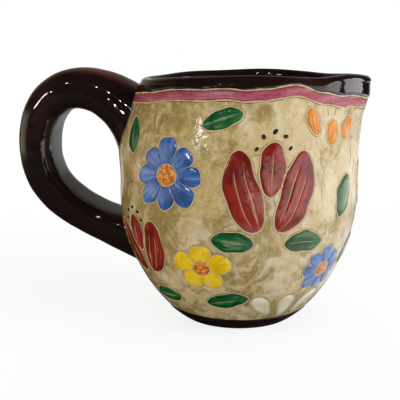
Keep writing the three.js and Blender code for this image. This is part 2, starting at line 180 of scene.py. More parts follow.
# Number of rings left by throwing inside
THROWING_RINGS = 17
# Waves of the pulled strap: share, and how fast they turn along it and round it
STRAP_WAVES = [(0.012, 11, 2), (0.01, 23, -1), (0.004, 61, 2), (0.003, 97, -3)]
# How far the strap's ends lie in the wall, and the height of the clay round its roots
ROOT_DEPTH = 1.6 * MM
SEAM_HEIGHT = 0.3 * MM

# How far the glaze stands out on the foot band, and the run of its edge there and at the rim
FOOT_GLAZE = 0.25 * MM
FOOT_GLAZE_RUN = 0.8 * MM
RIM_GLAZE_RUN = 0.7 * MM
# How far in the wall lies behind the slip
BACKING_DEPTH = MM
# A band of slip: its depth, the run of its rounded edges, how far they are tucked in and over what
# run, and how far in from an edge the edge's mark reaches
BAND_DEPTH = 0.8 * MM
BAND_ROUND = 0.7 * MM
BAND_TUCK = 0.12 * MM
TUCK_RUN = 0.4 * MM
MARK_RUN = 0.9 * MM
# How far the stripe stands out, and how far the coat of slip runs up towards it
STRIPE_LIFT = 0.12 * MM
COAT_LAP = 0.2 * MM
# A cell's bed below the slip's face, the stipple of an eye, and a seed's height
CELL_BED = 0.12 * MM
EYE_STIPPLE = 0.12 * MM
SEED_HEIGHT = 0.45 * MM
# Bare ring between an eye and its petals, in drawing units
EYE_GAP = 0.3


def length(name, millimetres, description):
    return FloatProperty(
        name=name, description=description, default=millimetres * MM, unit="LENGTH", precision=5
    )


def share(name, default, description):
    return FloatProperty(name=name, description=description, default=default, precision=3)


def linear(code):
    """Linear red, green and blue of a colour code such as 1c100d."""
    channels = [int(code[start : start + 2], 16) / 255 for start in (0, 2, 4)]
    return tuple(c / 12.92 if c <= 0.04045 else ((c + 0.055) / 1.055) ** 2.4 for c in channels)


def colour(name, code, description):
    return FloatVectorProperty(
        name=name,
        description=description,
        default=linear(code),
        size=3,
        subtype="COLOR",
        min=0,
        max=1,
    )


class PotSizes(bpy.types.PropertyGroup):
    """Thrown pot: the section of its wall, its mouth and its bands"""

    foot_radius: length("Foot radius", 21, "Radius of the flat foot")
    foot_flare: length("Foot flare", 15, "Run of the bowl's first stretch, outwards")
    foot_rise: length("Foot rise", 8.4, "Run of the bowl's first stretch, upwards")
    belly_radius: length("Belly radius", 47, "Radius at the fullest height")
    belly_height: length("Belly height", 53, "Height of the fullest part")
    belly_fullness: length("Belly fullness", 20, "Length of the steep stretch below the belly")
    shoulder_run: length("Shoulder run", 15.4, "Length of the steep stretch above the belly")
    shoulder_slope: share("Shoulder slope", 0.07, "How fast the wall closes in above the belly")
    rim_radius: length("Rim radius", 41.8, "Mean radius of the mouth")
    rim_height: length("Rim height", 97.9, "Height of the mouth at the sides")
    rim_turn: length("Rim turn", 16.4, "Length of the stretch that leans out to the rim")
    rim_lean: share("Rim lean", 0.76, "Share of the rim's offset from the belly that it leans over")
    rim_shift: length("Rim shift", 3.7, "How far the mouth is pushed over to the lip's side")
    lip_reach: length("Lip reach", 4.6, "How far the lip is pulled out")
    lip_spread: share("Lip spread", 19, "Width of the lip in degrees of bearing")
    lip_dip: length("Lip dip", 1.9, "How much lower the rim is towards the lip")
    lip_lift: length("Lip lift", 1.2, "How far the lip's own edge turns up again")
    lip_breadth: share("Lip breadth", 30, "Half width of that turn in degrees of bearing")
    handle_dip: length("Handle dip", 2.4, "How much lower the rim is at the handle")
    rim_thickness: length("Rim thickness", 5, "Thickness of the rolled rim")
    rim_roll: length("Rim roll", 0.5, "How far the rim band stands out from the slip")
    wall: length("Wall", 4.9, "Thickness of the wall at the belly")
    floor: length("Floor", 6.5, "Thickness of the floor")
    floor_radius: length("Floor radius", 16, "Radius of the flat floor inside")
    floor_sweep: length("Floor sweep", 14, "Run of the curve from the floor into the wall")
    foot_band: length("Foot band", 10, "Height of the dark foot band, along the wall")
    stripe: length("Stripe", 3.6, "Width of the stripe under the rim band")
    gap: length("Gap", 0.3, "Bare line between the bands")
    waver: length("Waver", 0.32, "Unevenness of the hand-raised wall")
    ripple: length("Ripple", 0.22, "Depth of the throwing rings inside")


class StrapSizes(bpy.types.PropertyGroup):
    """Handle: a strap that leaves the wall under the rim and comes back low on the bowl"""

    upper_height: length("Upper root", 83, "Height at which the strap's middle leaves the wall")
    upper_run: length("Upper run", 18.75, "First stretch of the strap, outwards")
    upper_climb: length("Upper climb", 23.5, "First stretch of the strap, upwards")
    upper_sink: length("Upper sink", 8, "How far the upper end runs on inside the wall")
    lower_height: length("Lower root", 32.5, "Height at which the strap's middle comes back")
    lower_run: length("Lower run", 33.25, "Last stretch of the strap, outwards")
    lower_climb: length("Lower climb", 7.75, "Last stretch of the strap, upwards")
    lower_sink: length("Lower sink", 16, "How far the lower end runs on inside the wall")
    reach: length("Reach", 34.35, "From the belly to the strap's middle")
    height: length("Height", 68.1, "Height of the point that reaches furthest")
    shoulder: length("Shoulder", 26.5, "Length of the steep stretch above that point")
    drop: length("Drop", 21.3, "Length of the steep stretch below that point")
    width: length("Width", 24.5, "Width of the strap")
    top: length("Top thickness", 16.8, "Thickness near the upper root")
    low: length("Low thickness", 12.2, "Thickness near the lower root")
    upper_flare: length("Upper flare", 6.3, "Extra thickness at the upper root")
    lower_flare: length("Lower flare", 12.2, "Extra thickness at the lower root")
    upper_fill: length("Upper fill", 1.9, "Clay smoothed in under the upper root")
    lower_fill: length("Lower fill", 3, "Clay smoothed in over the lower root")
    fill_length: share("Fill length", 0.2, "Share of the strap over which that clay thins out")
    root_spread: length("Root spread", 6, "Extra width at the roots")
    flare_length: share("Flare length", 0.26, "Share of the strap over which a root swells")
    outer_roundness: share("Outer roundness", 0.85, "1 is a full ellipse, less is squarer")
    inner_roundness: share("Inner roundness", 0.45, "The same on the side towards the pot")
    seam: length("Seam", 1.5, "Width of the clay smoothed round the roots")


class EnamelSizes(bpy.types.PropertyGroup):
    """Raised cells of enamel and the lines scratched round them"""

    edge: length("Edge", 0.3, "How fast a cell's edge rises")
    rise: length("Rise", 0.2, "Height that a cell reaches just inside its edge")
    crown: length("Crown", 0.22, "How much higher its middle is")
    vein: length("Vein", 0.2, "Depth of the veins and of the lines between petals")
    line: length("Line", 0.72, "Width of the scratched lines")
    burr: length("Burr", 0.12, "Height of the clay thrown up along a scratched line")
    waver: share("Waver", 0.07, "Unevenness of the hand-drawn outlines")


class Colours(bpy.types.PropertyGroup):
    """Glaze, slip and enamels"""

    glaze: colour("Glaze", "1b110f", "Dark glaze on handle, rim, foot and inside")
    glaze_thin: colour("Thin glaze", "2b1815", "The same where it has run thin")
    # Painted reddish sheen, laid on the strap's outer crest near the upper root
    glaze_red: colour("Red glaze", "5e161b", "The same where it has broken to red")
    slip: colour("Slip", "bea76c", "Slip on the wall")
    # Olive slip is also laid towards the handle as painted shade, and pale slip and clay towards
    # the lip and low on the bowl as painted light
    slip_olive: colour("Olive slip", "907940", "Stains in the slip")
    slip_pale: colour("Pale slip", "ddcfae", "Slip where it lies thick")
    clay: colour("Clay", "c9b48a", "Bare clay in the scratched lines")
    # Stain also paints the shadow along one side of each scratched line
    stain: colour("Stain", "3d2c1c", "Stain that has run into the lines")
    crimson: colour("Crimson", "95364c", "Stripe under the rim")
    red: colour("Red", "932a21", "Tulips")
    blue: colour("Blue", "4470b4", "Daisies")
    yellow: colour("Yellow", "ebc81f", "Stars")
    orange: colour("Orange", "de941c", "Buds and eyes")
    green: colour("Green", "12602f", "Leaves")
    white: colour("White", "e6e0ca", "Drops")


def bezier(points, steps):
    t = np.linspace(0, 1, steps + 1)[:, None]
    a, b, c, d = (np.asarray(point, dtype=float) for point in points)
    return (1 - t) ** 3 * a + 3 * (1 - t) ** 2 * t * b + 3 * (1 - t) * t**2 * c + t**3 * d


def smooth(x):
    x = np.clip(x, 0, 1)
    return x * x * (3 - 2 * x)


def even(path, count):
    """Points at even distances along a path, and the path's length."""
    steps = np.linalg.norm(np.diff(path, axis=0), axis=1)
    travelled = np.concatenate(([0], np.cumsum(steps)))
    stops = np.linspace(0, travelled[-1], count)
    axes = [np.interp(stops, travelled, axis) for axis in path.T]
    return np.stack(axes, axis=1), travelled[-1]


class Wall:
    """Outer surface of the pot, by bearing and by length along its section."""

    def __init__(self, pot):
        self.pot = pot
        self.bearings = np.arange(0, 360 + TABLE_STEP, TABLE_STEP)
        sections, self.lengths = [], []
        for bearing in self.bearings:
            section, reach = even(self.outline(bearing), TABLE_ROWS)
            sections.append(section)
            self.lengths.append(reach)
        self.sections = np.array(sections)
        tangents = np.gradient(self.sections, axis=1)
        tangents /= np.linalg.norm(tangents, axis=2, keepdims=True)
        self.normals = np.stack((tangents[..., 1], -tangents[..., 0]), axis=2)

    def from_lip(self, bearing):
        return np.abs((np.asarray(bearing) - LIP + 180) % 360 - 180)

    def rim(self, bearing):
        """Radius and height of the rim's outer edge."""
        pot = self.pot
        from_lip = self.from_lip(bearing)
        to_lip = np.cos(np.radians(from_lip))
        spout = pot.lip_reach * np.exp(-((from_lip / pot.lip_spread) ** 2))
        dip = np.where(to_lip > 0, pot.lip_dip, pot.handle_dip) * to_lip**2
        lift = pot.lip_lift * np.exp(-((from_lip / pot.lip_breadth) ** 4))
        return pot.rim_radius + pot.rim_shift * to_lip + spout, pot.rim_height - dip + lift

    def outline(self, bearing):
        pot = self.pot
        rim = np.array(self.rim(bearing), dtype=float)
        foot = (pot.foot_radius, 0)
        belly = np.array((pot.belly_radius, pot.belly_height))
        slope = np.array((pot.shoulder_slope, -1.0))
        bowl_out = (pot.foot_radius + pot.foot_flare, pot.foot_rise)
        lean = rim[0] + (pot.belly_radius - rim[0]) * pot.rim_lean
        under_rim = (lean, rim[1] - pot.rim_turn)
        lower = bezier([foot, bowl_out, belly + slope * pot.belly_fullness, belly], WALL_STEPS)
        upper = bezier([belly, belly - slope * pot.shoulder_run, under_rim, rim], WALL_STEPS)
        return np.concatenate((lower, upper[1:]))

    def length(self, bearing):
        return np.interp(np.asarray(bearing) % 360, self.bearings, self.lengths)

    def bands(self, bearing):
        """Lengths along the wall at which slip, stripe and rim band meet."""
        pot = self.pot
        from_lip = self.from_lip(bearing)
        step = np.clip(np.searchsorted(RIM_BAND[:, 0], from_lip) - 1, 0, len(RIM_BAND) - 2)
        start, stop = RIM_BAND[step], RIM_BAND[step + 1]
        way = smooth((from_lip - start[..., 0]) / (stop[..., 0] - start[..., 0]))
        band = (start[..., 1] + (stop[..., 1] - start[..., 1]) * way) * MM
        rim_edge = self.length(bearing) - band
        stripe_top = rim_edge - pot.gap
        stripe_foot = stripe_top - pot.stripe
        return {
            "rim_edge": rim_edge,
            "stripe_top": stripe_top,
            "stripe_foot": stripe_foot,
            "coat_top": stripe_foot - pot.gap,
            "coat_foot": pot.foot_band + pot.gap + 0 * rim_edge,
        }

    def waver(self, bearing, along):
        """Unevenness of a wall that was raised by hand; no waves at the foot."""
        turn = np.radians(bearing)
        climb = along / WAVE_RISE
        waves = sum(
            part * np.sin(around * turn + up * climb + phase)
            for part, around, up, phase in WALL_WAVES
        )
        from_lip = self.from_lip(bearing)
        down = (self.length(bearing) - along) / MM
        pushed = sum(
            out * np.exp(-(((from_lip - middle) / spread) ** 2) - ((down - depth) / run) ** 2)
            for out, middle, spread, depth, run in WALL_PUSHES
        )
        return self.pot.waver * waves * smooth(along / STEADY_FOOT) + pushed

    def section(self, bearing, along, out=0.0):
        """Radius and height of a point of the section, moved out along the wall's normal."""
        column = (bearing % 360) / TABLE_STEP
        row = np.clip(along / self.length(bearing), 0, 1) * (TABLE_ROWS - 1)
        left = np.floor(column).astype(int)
        low = np.minimum(np.floor(row).astype(int), TABLE_ROWS - 2)
        right = np.minimum(left + 1, len(self.bearings) - 1)
        u = (column - left)[..., None]
        v = (row - low)[..., None]

        def blend(table):
            here = table[left, low] * (1 - u) + table[right, low] * u
            above = table[left, low + 1] * (1 - u) + table[right, low + 1] * u
            return here * (1 - v) + above * v

        return blend(self.sections) + blend(self.normals) * np.asarray(out)[..., None]

    def raised(self, bearing, along, out=0.0):
        """The same on the wall as raised by hand."""
        return self.section(bearing, along, out + self.waver(bearing, along))

    def at(self, bearing, along, out=0.0):
        """Points in space on the wall as raised by hand, or a little off it."""
        bearing, along, out = np.broadcast_arrays(
            np.asarray(bearing, float), np.asarray(along, float), np.asarray(out, float)
        )
        return turned(bearing, self.raised(bearing, along, out))

    def radius(self, bearing, along):
        return self.section(np.asarray(bearing, float), np.asarray(along, float))[..., 0]

    def along_at(self, bearing, height):
        """Length along the wall at a height."""
        column = np.rint((np.asarray(bearing) % 360) / TABLE_STEP).astype(int)
        heights = self.sections[column][:, :, 1]
        shares = np.linspace(0, 1, TABLE_ROWS)
        found = [np.interp(z, row, shares) for z, row in zip(height, heights)]
        return np.array(found) * self.length(bearing)

    def drawn(self, motif, x, y):
        """Bearing and length along the wall of a point of the drawing, from a motif's centre."""
        bearing, height, tilt = motif
        turn = math.radians(tilt)
        right = x * math.cos(turn) + y * math.sin(turn)
        up = y * math.cos(turn) - x * math.sin(turn)
        centre_radius = self.radius(bearing, self.height_along(bearing, height))
        here = bearing + right * UNIT_ANGLE * self.pot.belly_radius / centre_radius
        return here, self.height_along(here, height + up)

    def height_along(self, bearing, height):
        """Length along the wall at a height of the drawing."""
        bands = self.bands(bearing)
        foot, top = bands["coat_foot"], bands["coat_top"]
        return foot + (top - foot) * np.asarray(height) / DRAWING_HEIGHT


def turned(bearing, section):
    """Points in space of a section's radius and height at a bearing."""
    turn = np.radians(bearing)
    radius, height = section[..., 0], section[..., 1]
    return np.stack((radius * np.sin(turn), -radius * np.cos(turn), height), axis=-1)


def grid_faces(columns, rows, closed=False, start=0, flip=False):
    """Quads over a grid of points that is stored column by column."""
    faces = []
    for column in range(columns if closed else columns - 1):
        here = start + column * rows
        there = start + ((column + 1) % columns) * rows
        for row in range(rows - 1):
            quad = (here + row, there + row, there + row + 1, here + row + 1)
            faces.append(quad[::-1] if flip else quad)
    return faces


def looped(grid):
    """A grid whose rows start over after the last one."""
    return np.concatenate((grid, grid[:, :1]), axis=1)


class Shape:
    """Points and faces of one piece, with what its finish reads at each point: a mark for cuts,
    edges, stain with painted shadow, and painted sheen, and the place under the brush, across the
    stroke and along it."""

    def __init__(self):
        self.points = []
        self.faces = []
        self.marks = []
        self.brush = []

    def add_grid(self, points, marks=0.0, brush=None, closed=False, flip=False):
        columns, rows = points.shape[:2]
        start = len(self.points)
        strokes = np.zeros(points.shape)
        if brush is not None:
            strokes = np.stack(np.broadcast_arrays(*brush), axis=-1)
        self.points.extend(points.reshape(-1, 3).tolist())
        self.marks.extend(np.broadcast_to(marks, (columns, rows)).reshape(-1).tolist())
        self.brush.extend(strokes.reshape(-1).tolist())
        self.faces.extend(grid_faces(columns, rows, closed, start, flip))

    def add_fan(self, ring, marks=0.0):
        """Faces from a ring of points to its middle."""
        middle = np.broadcast_to(ring.mean(axis=0), ring.shape)
        self.add_grid(np.stack((ring, middle), axis=1), marks, closed=True)

    def mesh(self, name):
        """One clean mesh: shared points joined, flat faces dropped, and all faces turned out."""
        mesh = bpy.data.meshes.new(name)
        mesh.from_pydata(self.points, [], self.faces)
        mesh.attributes.new("mark", "FLOAT", "POINT").data.foreach_set("value", self.marks)
        brush = mesh.attributes.new("brush", "FLOAT_VECTOR", "POINT")
        brush.data.foreach_set("vector", self.brush)
        work = bmesh.new()
        work.from_mesh(mesh)
        bmesh.ops.remove_doubles(work, verts=work.verts, dist=WELD)
        bmesh.ops.dissolve_degenerate(work, edges=work.edges, dist=WELD)
        bmesh.ops.recalc_face_normals(work, faces=work.faces)
        work.to_mesh(mesh)
        work.free()
        mesh.shade_smooth()
        return mesh


def add_piece(name, shape, finish, slot, *nodes):
    """Puts a piece on the cup, in place of the CAD nodes that it stands for."""
    piece = bpy.data.objects.new(name, shape.mesh(name))
    bpy.context.scene.collection.objects.link(piece)
    piece.data.materials.append(finish)
    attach(piece, "root")
    if nodes:
        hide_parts(*nodes)


class Value:
    """A socket in a node tree. Arithmetic on it adds Math nodes."""

    def __init__(self, paint, socket):
        self.paint = paint
        self.socket = socket

    def math(self, operation, *values):
        inputs = dict(enumerate(values))
        return self.paint.node("ShaderNodeMath", inputs, operation=operation)

    def __add__(self, other):
        return self.math("ADD", self, other)

    def __radd__(self, other):
        return self.math("ADD", other, self)

    def __sub__(self, other):
        return self.math("SUBTRACT", self, other)

    def __rsub__(self, other):
        return self.math("SUBTRACT", other, self)

    def __mul__(self, other):
        return self.math("MULTIPLY", self, other)

    def __rmul__(self, other):
        return self.math("MULTIPLY", other, self)

    def __truediv__(self, other):
        return self.math("DIVIDE", self, other)

    def __rtruediv__(self, other):
        return self.math("DIVIDE", other, self)

    def __abs__(self):
        return self.math("ABSOLUTE", self)

    def at_least(self, other):
        return self.math("MAXIMUM", self, other)

    def step(self, low, high):
        """0 below low, 1 above high and smooth between them."""
        inputs = {"Value": self, "From Min": low, "From Max": high}
        return self.paint.node("ShaderNodeMapRange", inputs, interpolation_type="SMOOTHSTEP")


class Paint:
    """A node tree with a surface shader, and the nodes that feed it."""

    def __init__(self, owner):
        owner.use_nodes = True
        self.owner = owner
        self.tree = owner.node_tree

    def node(self, kind, inputs=None, output=0, **settings):
        node = self.tree.nodes.new(kind)
        for name, value in settings.items():
            setattr(node, name, value)
        for key, value in (inputs or {}).items():
            self.feed(self.find(node.inputs, key), value)
        return Value(self, self.find(node.outputs, output))

    def find(self, sockets, key):
        shown = [socket for socket in sockets if socket.enabled]
        if isinstance(key, int):
            return shown[key]
        return next(socket for socket in shown if socket.name == key)

    def feed(self, socket, value):
        if isinstance(value, Value):
            self.tree.links.new(value.socket, socket)
        elif socket.type == "RGBA" and len(value) == 3:
            socket.default_value = (*value, 1.0)
        else:
            socket.default_value = value

    def mix(self, factor, first, second):
        inputs = {"Factor": factor, "A": first, "B": second}
        return self.node("ShaderNodeMix", inputs, data_type="RGBA")

    def place(self):
        return self.node("ShaderNodeTexCoord", output="Object")

    def stretched(self, scale):
        return self.node("ShaderNodeMapping", {"Vector": self.place(), "Scale": scale})

    def noise(self, scale, detail=3.0, roughness=0.55, distortion=0.0, vector=None):
        inputs = {
            "Vector": vector or self.place(),
            "Scale": scale,
            "Detail": detail,
            "Roughness": roughness,
            "Distortion": distortion,
        }
        return self.node("ShaderNodeTexNoise", inputs)

    def axis(self, vector, name):
        return self.node("ShaderNodeSeparateXYZ", {"Vector": vector}, output=name)

    def towards(self, vector, bearing):
        """How far a vector reaches towards a bearing."""
        inputs = {0: vector, 1: heading(bearing)}
        return self.node("ShaderNodeVectorMath", inputs, output="Value", operation="DOT_PRODUCT")

    def rays(self):
        """Masks of the rays from the camera, and of those from shiny or clear surfaces."""
        seen, gloss, through = (
            self.node("ShaderNodeLightPath", output=f"Is {kind} Ray")
            for kind in ("Camera", "Glossy", "Transmission")
        )
        return seen, gloss.at_least(through)

    def attribute(self, name, output):
        return self.node("ShaderNodeAttribute", output=output, attribute_name=name)

    def mark(self):
        return self.attribute("mark", "Fac")

    def across_stroke(self):
        return self.axis(self.attribute("brush", "Vector"), "X")

    def strokes(self, across, along):
        """Streaks that follow the brush; the last scale sets neighbouring strokes apart."""
        inputs = {0: self.attribute("brush", "Vector"), 1: (across, along, 3.7)}
        scaled = self.node("ShaderNodeVectorMath", inputs, output="Vector", operation="MULTIPLY")
        return self.noise(1.0, detail=3, roughness=0.6, distortion=0.4, vector=scaled)

    def bump(self, height, strength, distance):
        inputs = {"Height": height, "Strength": strength, "Distance": distance}
        return self.node("ShaderNodeBump", inputs, output="Normal")

    def surface(self, **inputs):
        """Sets the Principled shader's sockets; an underscore in a name stands for a space."""
        shader = self.tree.nodes["Principled BSDF"]
        for name, value in inputs.items():
            self.feed(shader.inputs[name.replace("_", " ")], value)
        return self.owner


def heading(bearing, elevation=0.0):
    """Way out from the cup at a bearing and an elevation in degrees."""
    turn, climb = math.radians(bearing), math.radians(elevation)
    flat = math.cos(climb)
    return Vector((math.sin(turn) * flat, -math.cos(turn) * flat, math.sin(climb)))


def new_paint(name):
    return Paint(bpy.data.materials.new(name))


def run_glaze(tints):
    """Thick glossy glaze: near black, browner where it has run thin, over a slightly wavy skin."""
    paint = new_paint("run_glaze")
    flow = paint.noise(55, detail=4, vector=paint.stretched((1, 1, 0.45)))
    pooled = paint.noise(210, detail=2)
    thin = (flow * 0.75 + pooled * 0.25).step(0.48, 0.68)
    tone = paint.mix(thin, tints.glaze, tints.glaze_thin)
    # Painted reddish sheen on the glaze where the mark is set: the strap's crest near the upper
    # root
    tone = paint.mix(paint.mark() * flow.step(0.4, 0.6), tone, tints.glaze_red)
    skin = 0.5 * paint.noise(95, detail=1, roughness=0.4) + 0.5 * paint.noise(240, detail=1)
    return paint.surface(
        Base_Color=tone,
        Roughness=0.03 + 0.05 * paint.noise(70),
        IOR=1.5,
        Normal=paint.bump(skin, 0.3, 0.55 * MM),
    )


def mottled_slip(tints):
    """Pale slip that was dabbed on and stained: olive clouds, pale dabs and specks under a thin
    glaze. Painted light makes it creamier towards the lip and low on the bowl, and painted shade
    makes it more olive towards the handle."""
    paint = new_paint("mottled_slip")
    cloud = paint.noise(46, detail=4, distortion=0.9)
    blotch = paint.noise(140, detail=5, roughness=0.62, distortion=1.2)
    dab = paint.noise(420, detail=3, distortion=0.5)
    thick = paint.noise(85, detail=4, distortion=0.7, vector=paint.stretched((1.3, 1.3, 0.8)))
    # Painted light and shade: paler slip towards the lip, more olive stain towards the handle
    painted_light_lipwards = paint.axis(paint.place(), "X")
    height = paint.axis(paint.place(), "Z")
    thick = thick + 0.9 * painted_light_lipwards
    stain = (cloud * 0.5 + blotch * 0.5 - 1.3 * painted_light_lipwards).step(0.45, 0.56)
    # Painted light: creamier slip towards the lip and low on the bowl
    painted_light_cream = painted_light_lipwards.step(-0.02, 0.045).at_least(0.8 * (1 - height.step(0.03, 0.065)))
    body = paint.mix(painted_light_cream, tints.slip, tints.clay)
    ground = paint.mix(stain * 0.85, body, tints.slip_olive)
    ground = paint.mix(thick.step(0.5, 0.68) * 0.65, ground, tints.slip_pale)
    ground = paint.mix(dab.step(0.5, 0.72) * 0.4, ground, tints.slip_pale)
    ground = paint.mix((1 - dab.step(0.3, 0.46)) * 0.35, ground, tints.slip_olive)
    rims = 1 - abs(blotch - 0.5).step(0.0, 0.03)
    ground = paint.mix(rims * 0.3 * cloud.step(0.4, 0.6), ground, tints.stain)
    specks = paint.noise(1300, detail=1).step(0.72, 0.8)
    ground = paint.mix(specks * 0.45, ground, tints.stain)
    relief = 0.5 * dab + 0.5 * blotch + 0.08 * paint.noise(1200, detail=2)
    return paint.surface(
        Base_Color=ground,
        Roughness=0.03 + 0.1 * blotch,
        IOR=1.45,
        Normal=paint.bump(relief, 0.6, 0.4 * MM),
    )


def stripe_slip(tints):
    """Crimson slip, brushed round under a clear glaze."""
    paint = new_paint("stripe_slip")
    brushed = paint.noise(90, detail=5, roughness=0.65, vector=paint.stretched((1, 1, 9)))
    worn = paint.noise(420, detail=3)
    pale = tuple(0.6 * c + 0.4 * p for c, p in zip(tints.crimson, linear("c98794")))
    deep = tuple(0.45 * c for c in tints.crimson)
    tone = paint.mix(brushed.step(0.38, 0.7), tints.crimson, pale)
    tone = paint.mix(worn.step(0.5, 0.75) * 0.6, tone, deep)
    edge = paint.mark().step(0.5, 1.0)
    tone = paint.mix(edge * 0.8, tone, deep)
    return paint.surface(
        Base_Color=tone,
        Roughness=0.18 + 0.2 * worn,
        Normal=paint.bump(brushed + 0.4 * worn, 0.35, 0.3 * MM),
    )


# How much darker an enamel's deep tone is, in its pools and towards its edges, where that isn't
# even over red, green and blue
ENAMEL_DEPTHS = {
    "yellow": (0.82, 0.68, 0.4),
    "orange": (0.75, 0.5, 0.4),
    "white": (0.74, 0.72, 0.62),
}
EVEN_DEPTH = (0.45, 0.45, 0.45)


def brushed_enamel(name, tints):
    """Glossy enamel laid on with a brush: streaks along the stroke, deep pools and paler places."""
    paint = new_paint("brushed_" + name)
    tint = tuple(getattr(tints, name))
    strokes = paint.strokes(3.2, 1.1)
    pool = paint.noise(110, detail=3, distortion=0.8)
    wash = 0.35 * strokes + 0.65 * pool
    deep = tuple(c * d for c, d in zip(tint, ENAMEL_DEPTHS.get(name, EVEN_DEPTH)))
    light = tuple(0.72 * c + 0.28 * p for c, p in zip(tint, tints.slip_pale))
    tone = paint.mix(wash.step(0.38, 0.56), deep, tint)
    tone = paint.mix(strokes.step(0.5, 0.64) * pool.step(0.42, 0.58) * 0.8, tone, light)
    # Darker towards the edges across each stroke, in the deep tone
    edge = abs(paint.across_stroke()).step(0.45, 1.0)
    tone = paint.mix(edge * (0.15 + 0.6 * wash.step(0.42, 0.62)), tone, deep)
    cut = paint.mark().step(0.35, 0.9)
    tone = paint.mix(cut * 0.6, tone, tints.clay)
    skin = paint.noise(300, detail=2) + 0.4 * strokes
    return paint.surface(
        Base_Color=tone,
        Roughness=0.05 + 0.1 * pool + 0.3 * cut,
        Normal=paint.bump(skin, 0.3, 0.3 * MM),
    )


def stippled_eye(tints):
    """Orange enamel, stippled with red."""
    paint = new_paint("stippled_eye")
    stipple = paint.noise(900, detail=2, distortion=0.6).step(0.46, 0.56)
    tone = paint.mix(stipple * 0.85, tints.orange, tuple(1.4 * c for c in tints.red))
    tone = paint.mix(paint.noise(1300, detail=1).step(0.62, 0.7) * 0.5, tone, tints.slip_pale)
    return paint.surface(
        Base_Color=tone,
        Roughness=0.2 + 0.15 * stipple,
        Normal=paint.bump(stipple, 0.5, 0.2 * MM),
    )


def scratched_clay(tints):
    """Bare clay in a scratched line, with a dark side: stain caught along it and a painted shadow.
    """
    paint = new_paint("scratched_clay")
    broken = paint.noise(170, detail=3).step(0.36, 0.54)
    # Dark side of the line: stain, and the painted shadow of the line's wall
    side = paint.mark().step(0.4, 0.7)
    grain = paint.noise(900, detail=3)
    tone = paint.mix(grain.step(0.4, 0.75), tints.clay, tints.slip)
    tone = paint.mix(side * (0.35 + 0.65 * broken), tone, tints.stain)
    return paint.surface(
        Base_Color=tone,
        Roughness=0.4 + 0.2 * grain,
        Normal=paint.bump(grain, 0.4, 0.2 * MM),
    )


def seam_clay(tints):
    """Clay smoothed round the roots of the handle: stained, with slip showing through."""
    paint = new_paint("seam_clay")
    worn = paint.noise(260, detail=4, roughness=0.65)
    tone = paint.mix(worn.step(0.44, 0.62), tints.stain, tints.slip_olive)
    tone = paint.mix(paint.noise(700, detail=2).step(0.55, 0.7) * 0.6, tone, tints.glaze)
    return paint.surface(
        Base_Color=tone,
        Roughness=0.3 + 0.25 * worn,
        Normal=paint.bump(worn, 0.5, 0.3 * MM),
    )


def round_bearings():
    return np.arange(TURN_COLUMNS) * 360 / TURN_COLUMNS


def wave(bearing, repeats, phase=0.0):
    return math.sin(math.radians(repeats * bearing + phase))


def bulge(bearing, middle, spread):
    return math.exp(-(((bearing - middle) / spread) ** 2))


def pot_shape(pot, wall):
    """Foot, dark foot band, wall behind the slip, rolled rim and hollow inside."""
    flat = pot.foot_radius - MM
    half = pot.rim_thickness / 2
    columns = []
    for bearing in round_bearings():
        foot = np.linspace(0, 1, FOOT_ROWS)[:-1, None] * [[flat, 0.0]]
        heel = [(flat, 0), (pot.foot_radius - 0.4 * MM, 0), (pot.foot_radius, 0.1 * MM)]
        rows = [foot, bezier([*heel, wall.section(bearing, 0.9 * MM)], HEEL_STEPS)]
        ragged = 0.35 * MM * wave(bearing, 7) + 0.2 * MM * wave(bearing, 17)
        band_top = pot.foot_band + ragged
        for along in np.linspace(1.4 * MM, band_top, FOOT_BAND_ROWS):
            lift = FOOT_GLAZE * smooth((band_top - along) / FOOT_GLAZE_RUN)
            rows.append(wall.raised(bearing, along, lift)[None])
        rim_edge = wall.bands(bearing)["rim_edge"]
        for along in np.linspace(band_top + 0.3 * MM, rim_edge - 0.25 * MM, BACKING_ROWS):
            rows.append(wall.raised(bearing, along, -BACKING_DEPTH)[None])
        roll_start = wall.length(bearing) - half
        band_end = max(roll_start, rim_edge + 0.6 * MM)
        for along in np.linspace(rim_edge, band_end, RIM_BAND_ROWS):
            lift = pot.rim_roll * smooth(0.15 + (along - rim_edge) / RIM_GLAZE_RUN)
            rows.append(wall.raised(bearing, along, lift)[None])
        rim_radius, rim_height = wall.rim(bearing)
        nod = 0.25 * MM * wave(bearing, 3, 40) + 0.15 * MM * wave(bearing, 7)
        nod += 0.9 * MM * bulge(bearing, 62, 17) - 0.6 * MM * bulge(bearing, 118, 17)
        out = rim_radius + pot.rim_roll - half + wall.waver(bearing, roll_start)
        crown = np.array((out, rim_height - half + nod))
        angles = np.linspace(0.12, np.pi, ROLL_ROWS)[:, None]
        crest = crown + half * np.concatenate((np.cos(angles), np.sin(angles)), axis=1)
        rows += [crest, inside(pot, crest[-1])[1:]]
        columns.append(np.concatenate(rows))
    shape = Shape()
    shape.add_grid(turned(round_bearings()[:, None], np.array(columns)), closed=True)
    return shape


def inside(pot, rim):
    """Section of the hollow from the rim to the floor's middle, with throwing rings."""
    belly = np.array((pot.belly_radius - pot.wall, pot.belly_height))
    under_rim = (rim[0] + (belly[0] - rim[0]) * pot.rim_lean, rim[1] - pot.rim_turn)
    sweep = (pot.floor_radius + pot.floor_sweep, pot.floor)
    floor_edge = (pot.floor_radius, pot.floor)
    neck = bezier([rim, under_rim, belly + (0, pot.shoulder_run), belly], NECK_STEPS)
    bowl = bezier([belly, belly - (0, pot.belly_fullness), sweep, floor_edge], BOWL_STEPS)
    path = np.concatenate((neck, bowl[1:]))
    depth = np.linspace(0, 1, len(path))
    rings = np.sin(depth * 2 * np.pi * THROWING_RINGS)
    path[:, 0] += pot.ripple * rings * smooth(depth * 6) * smooth((1 - depth) * 6)
    floor = np.linspace(1, 0, FLOOR_ROWS)[1:, None] * [[pot.floor_radius, 0]] + [[0, pot.floor]]
    return np.concatenate((path, floor))


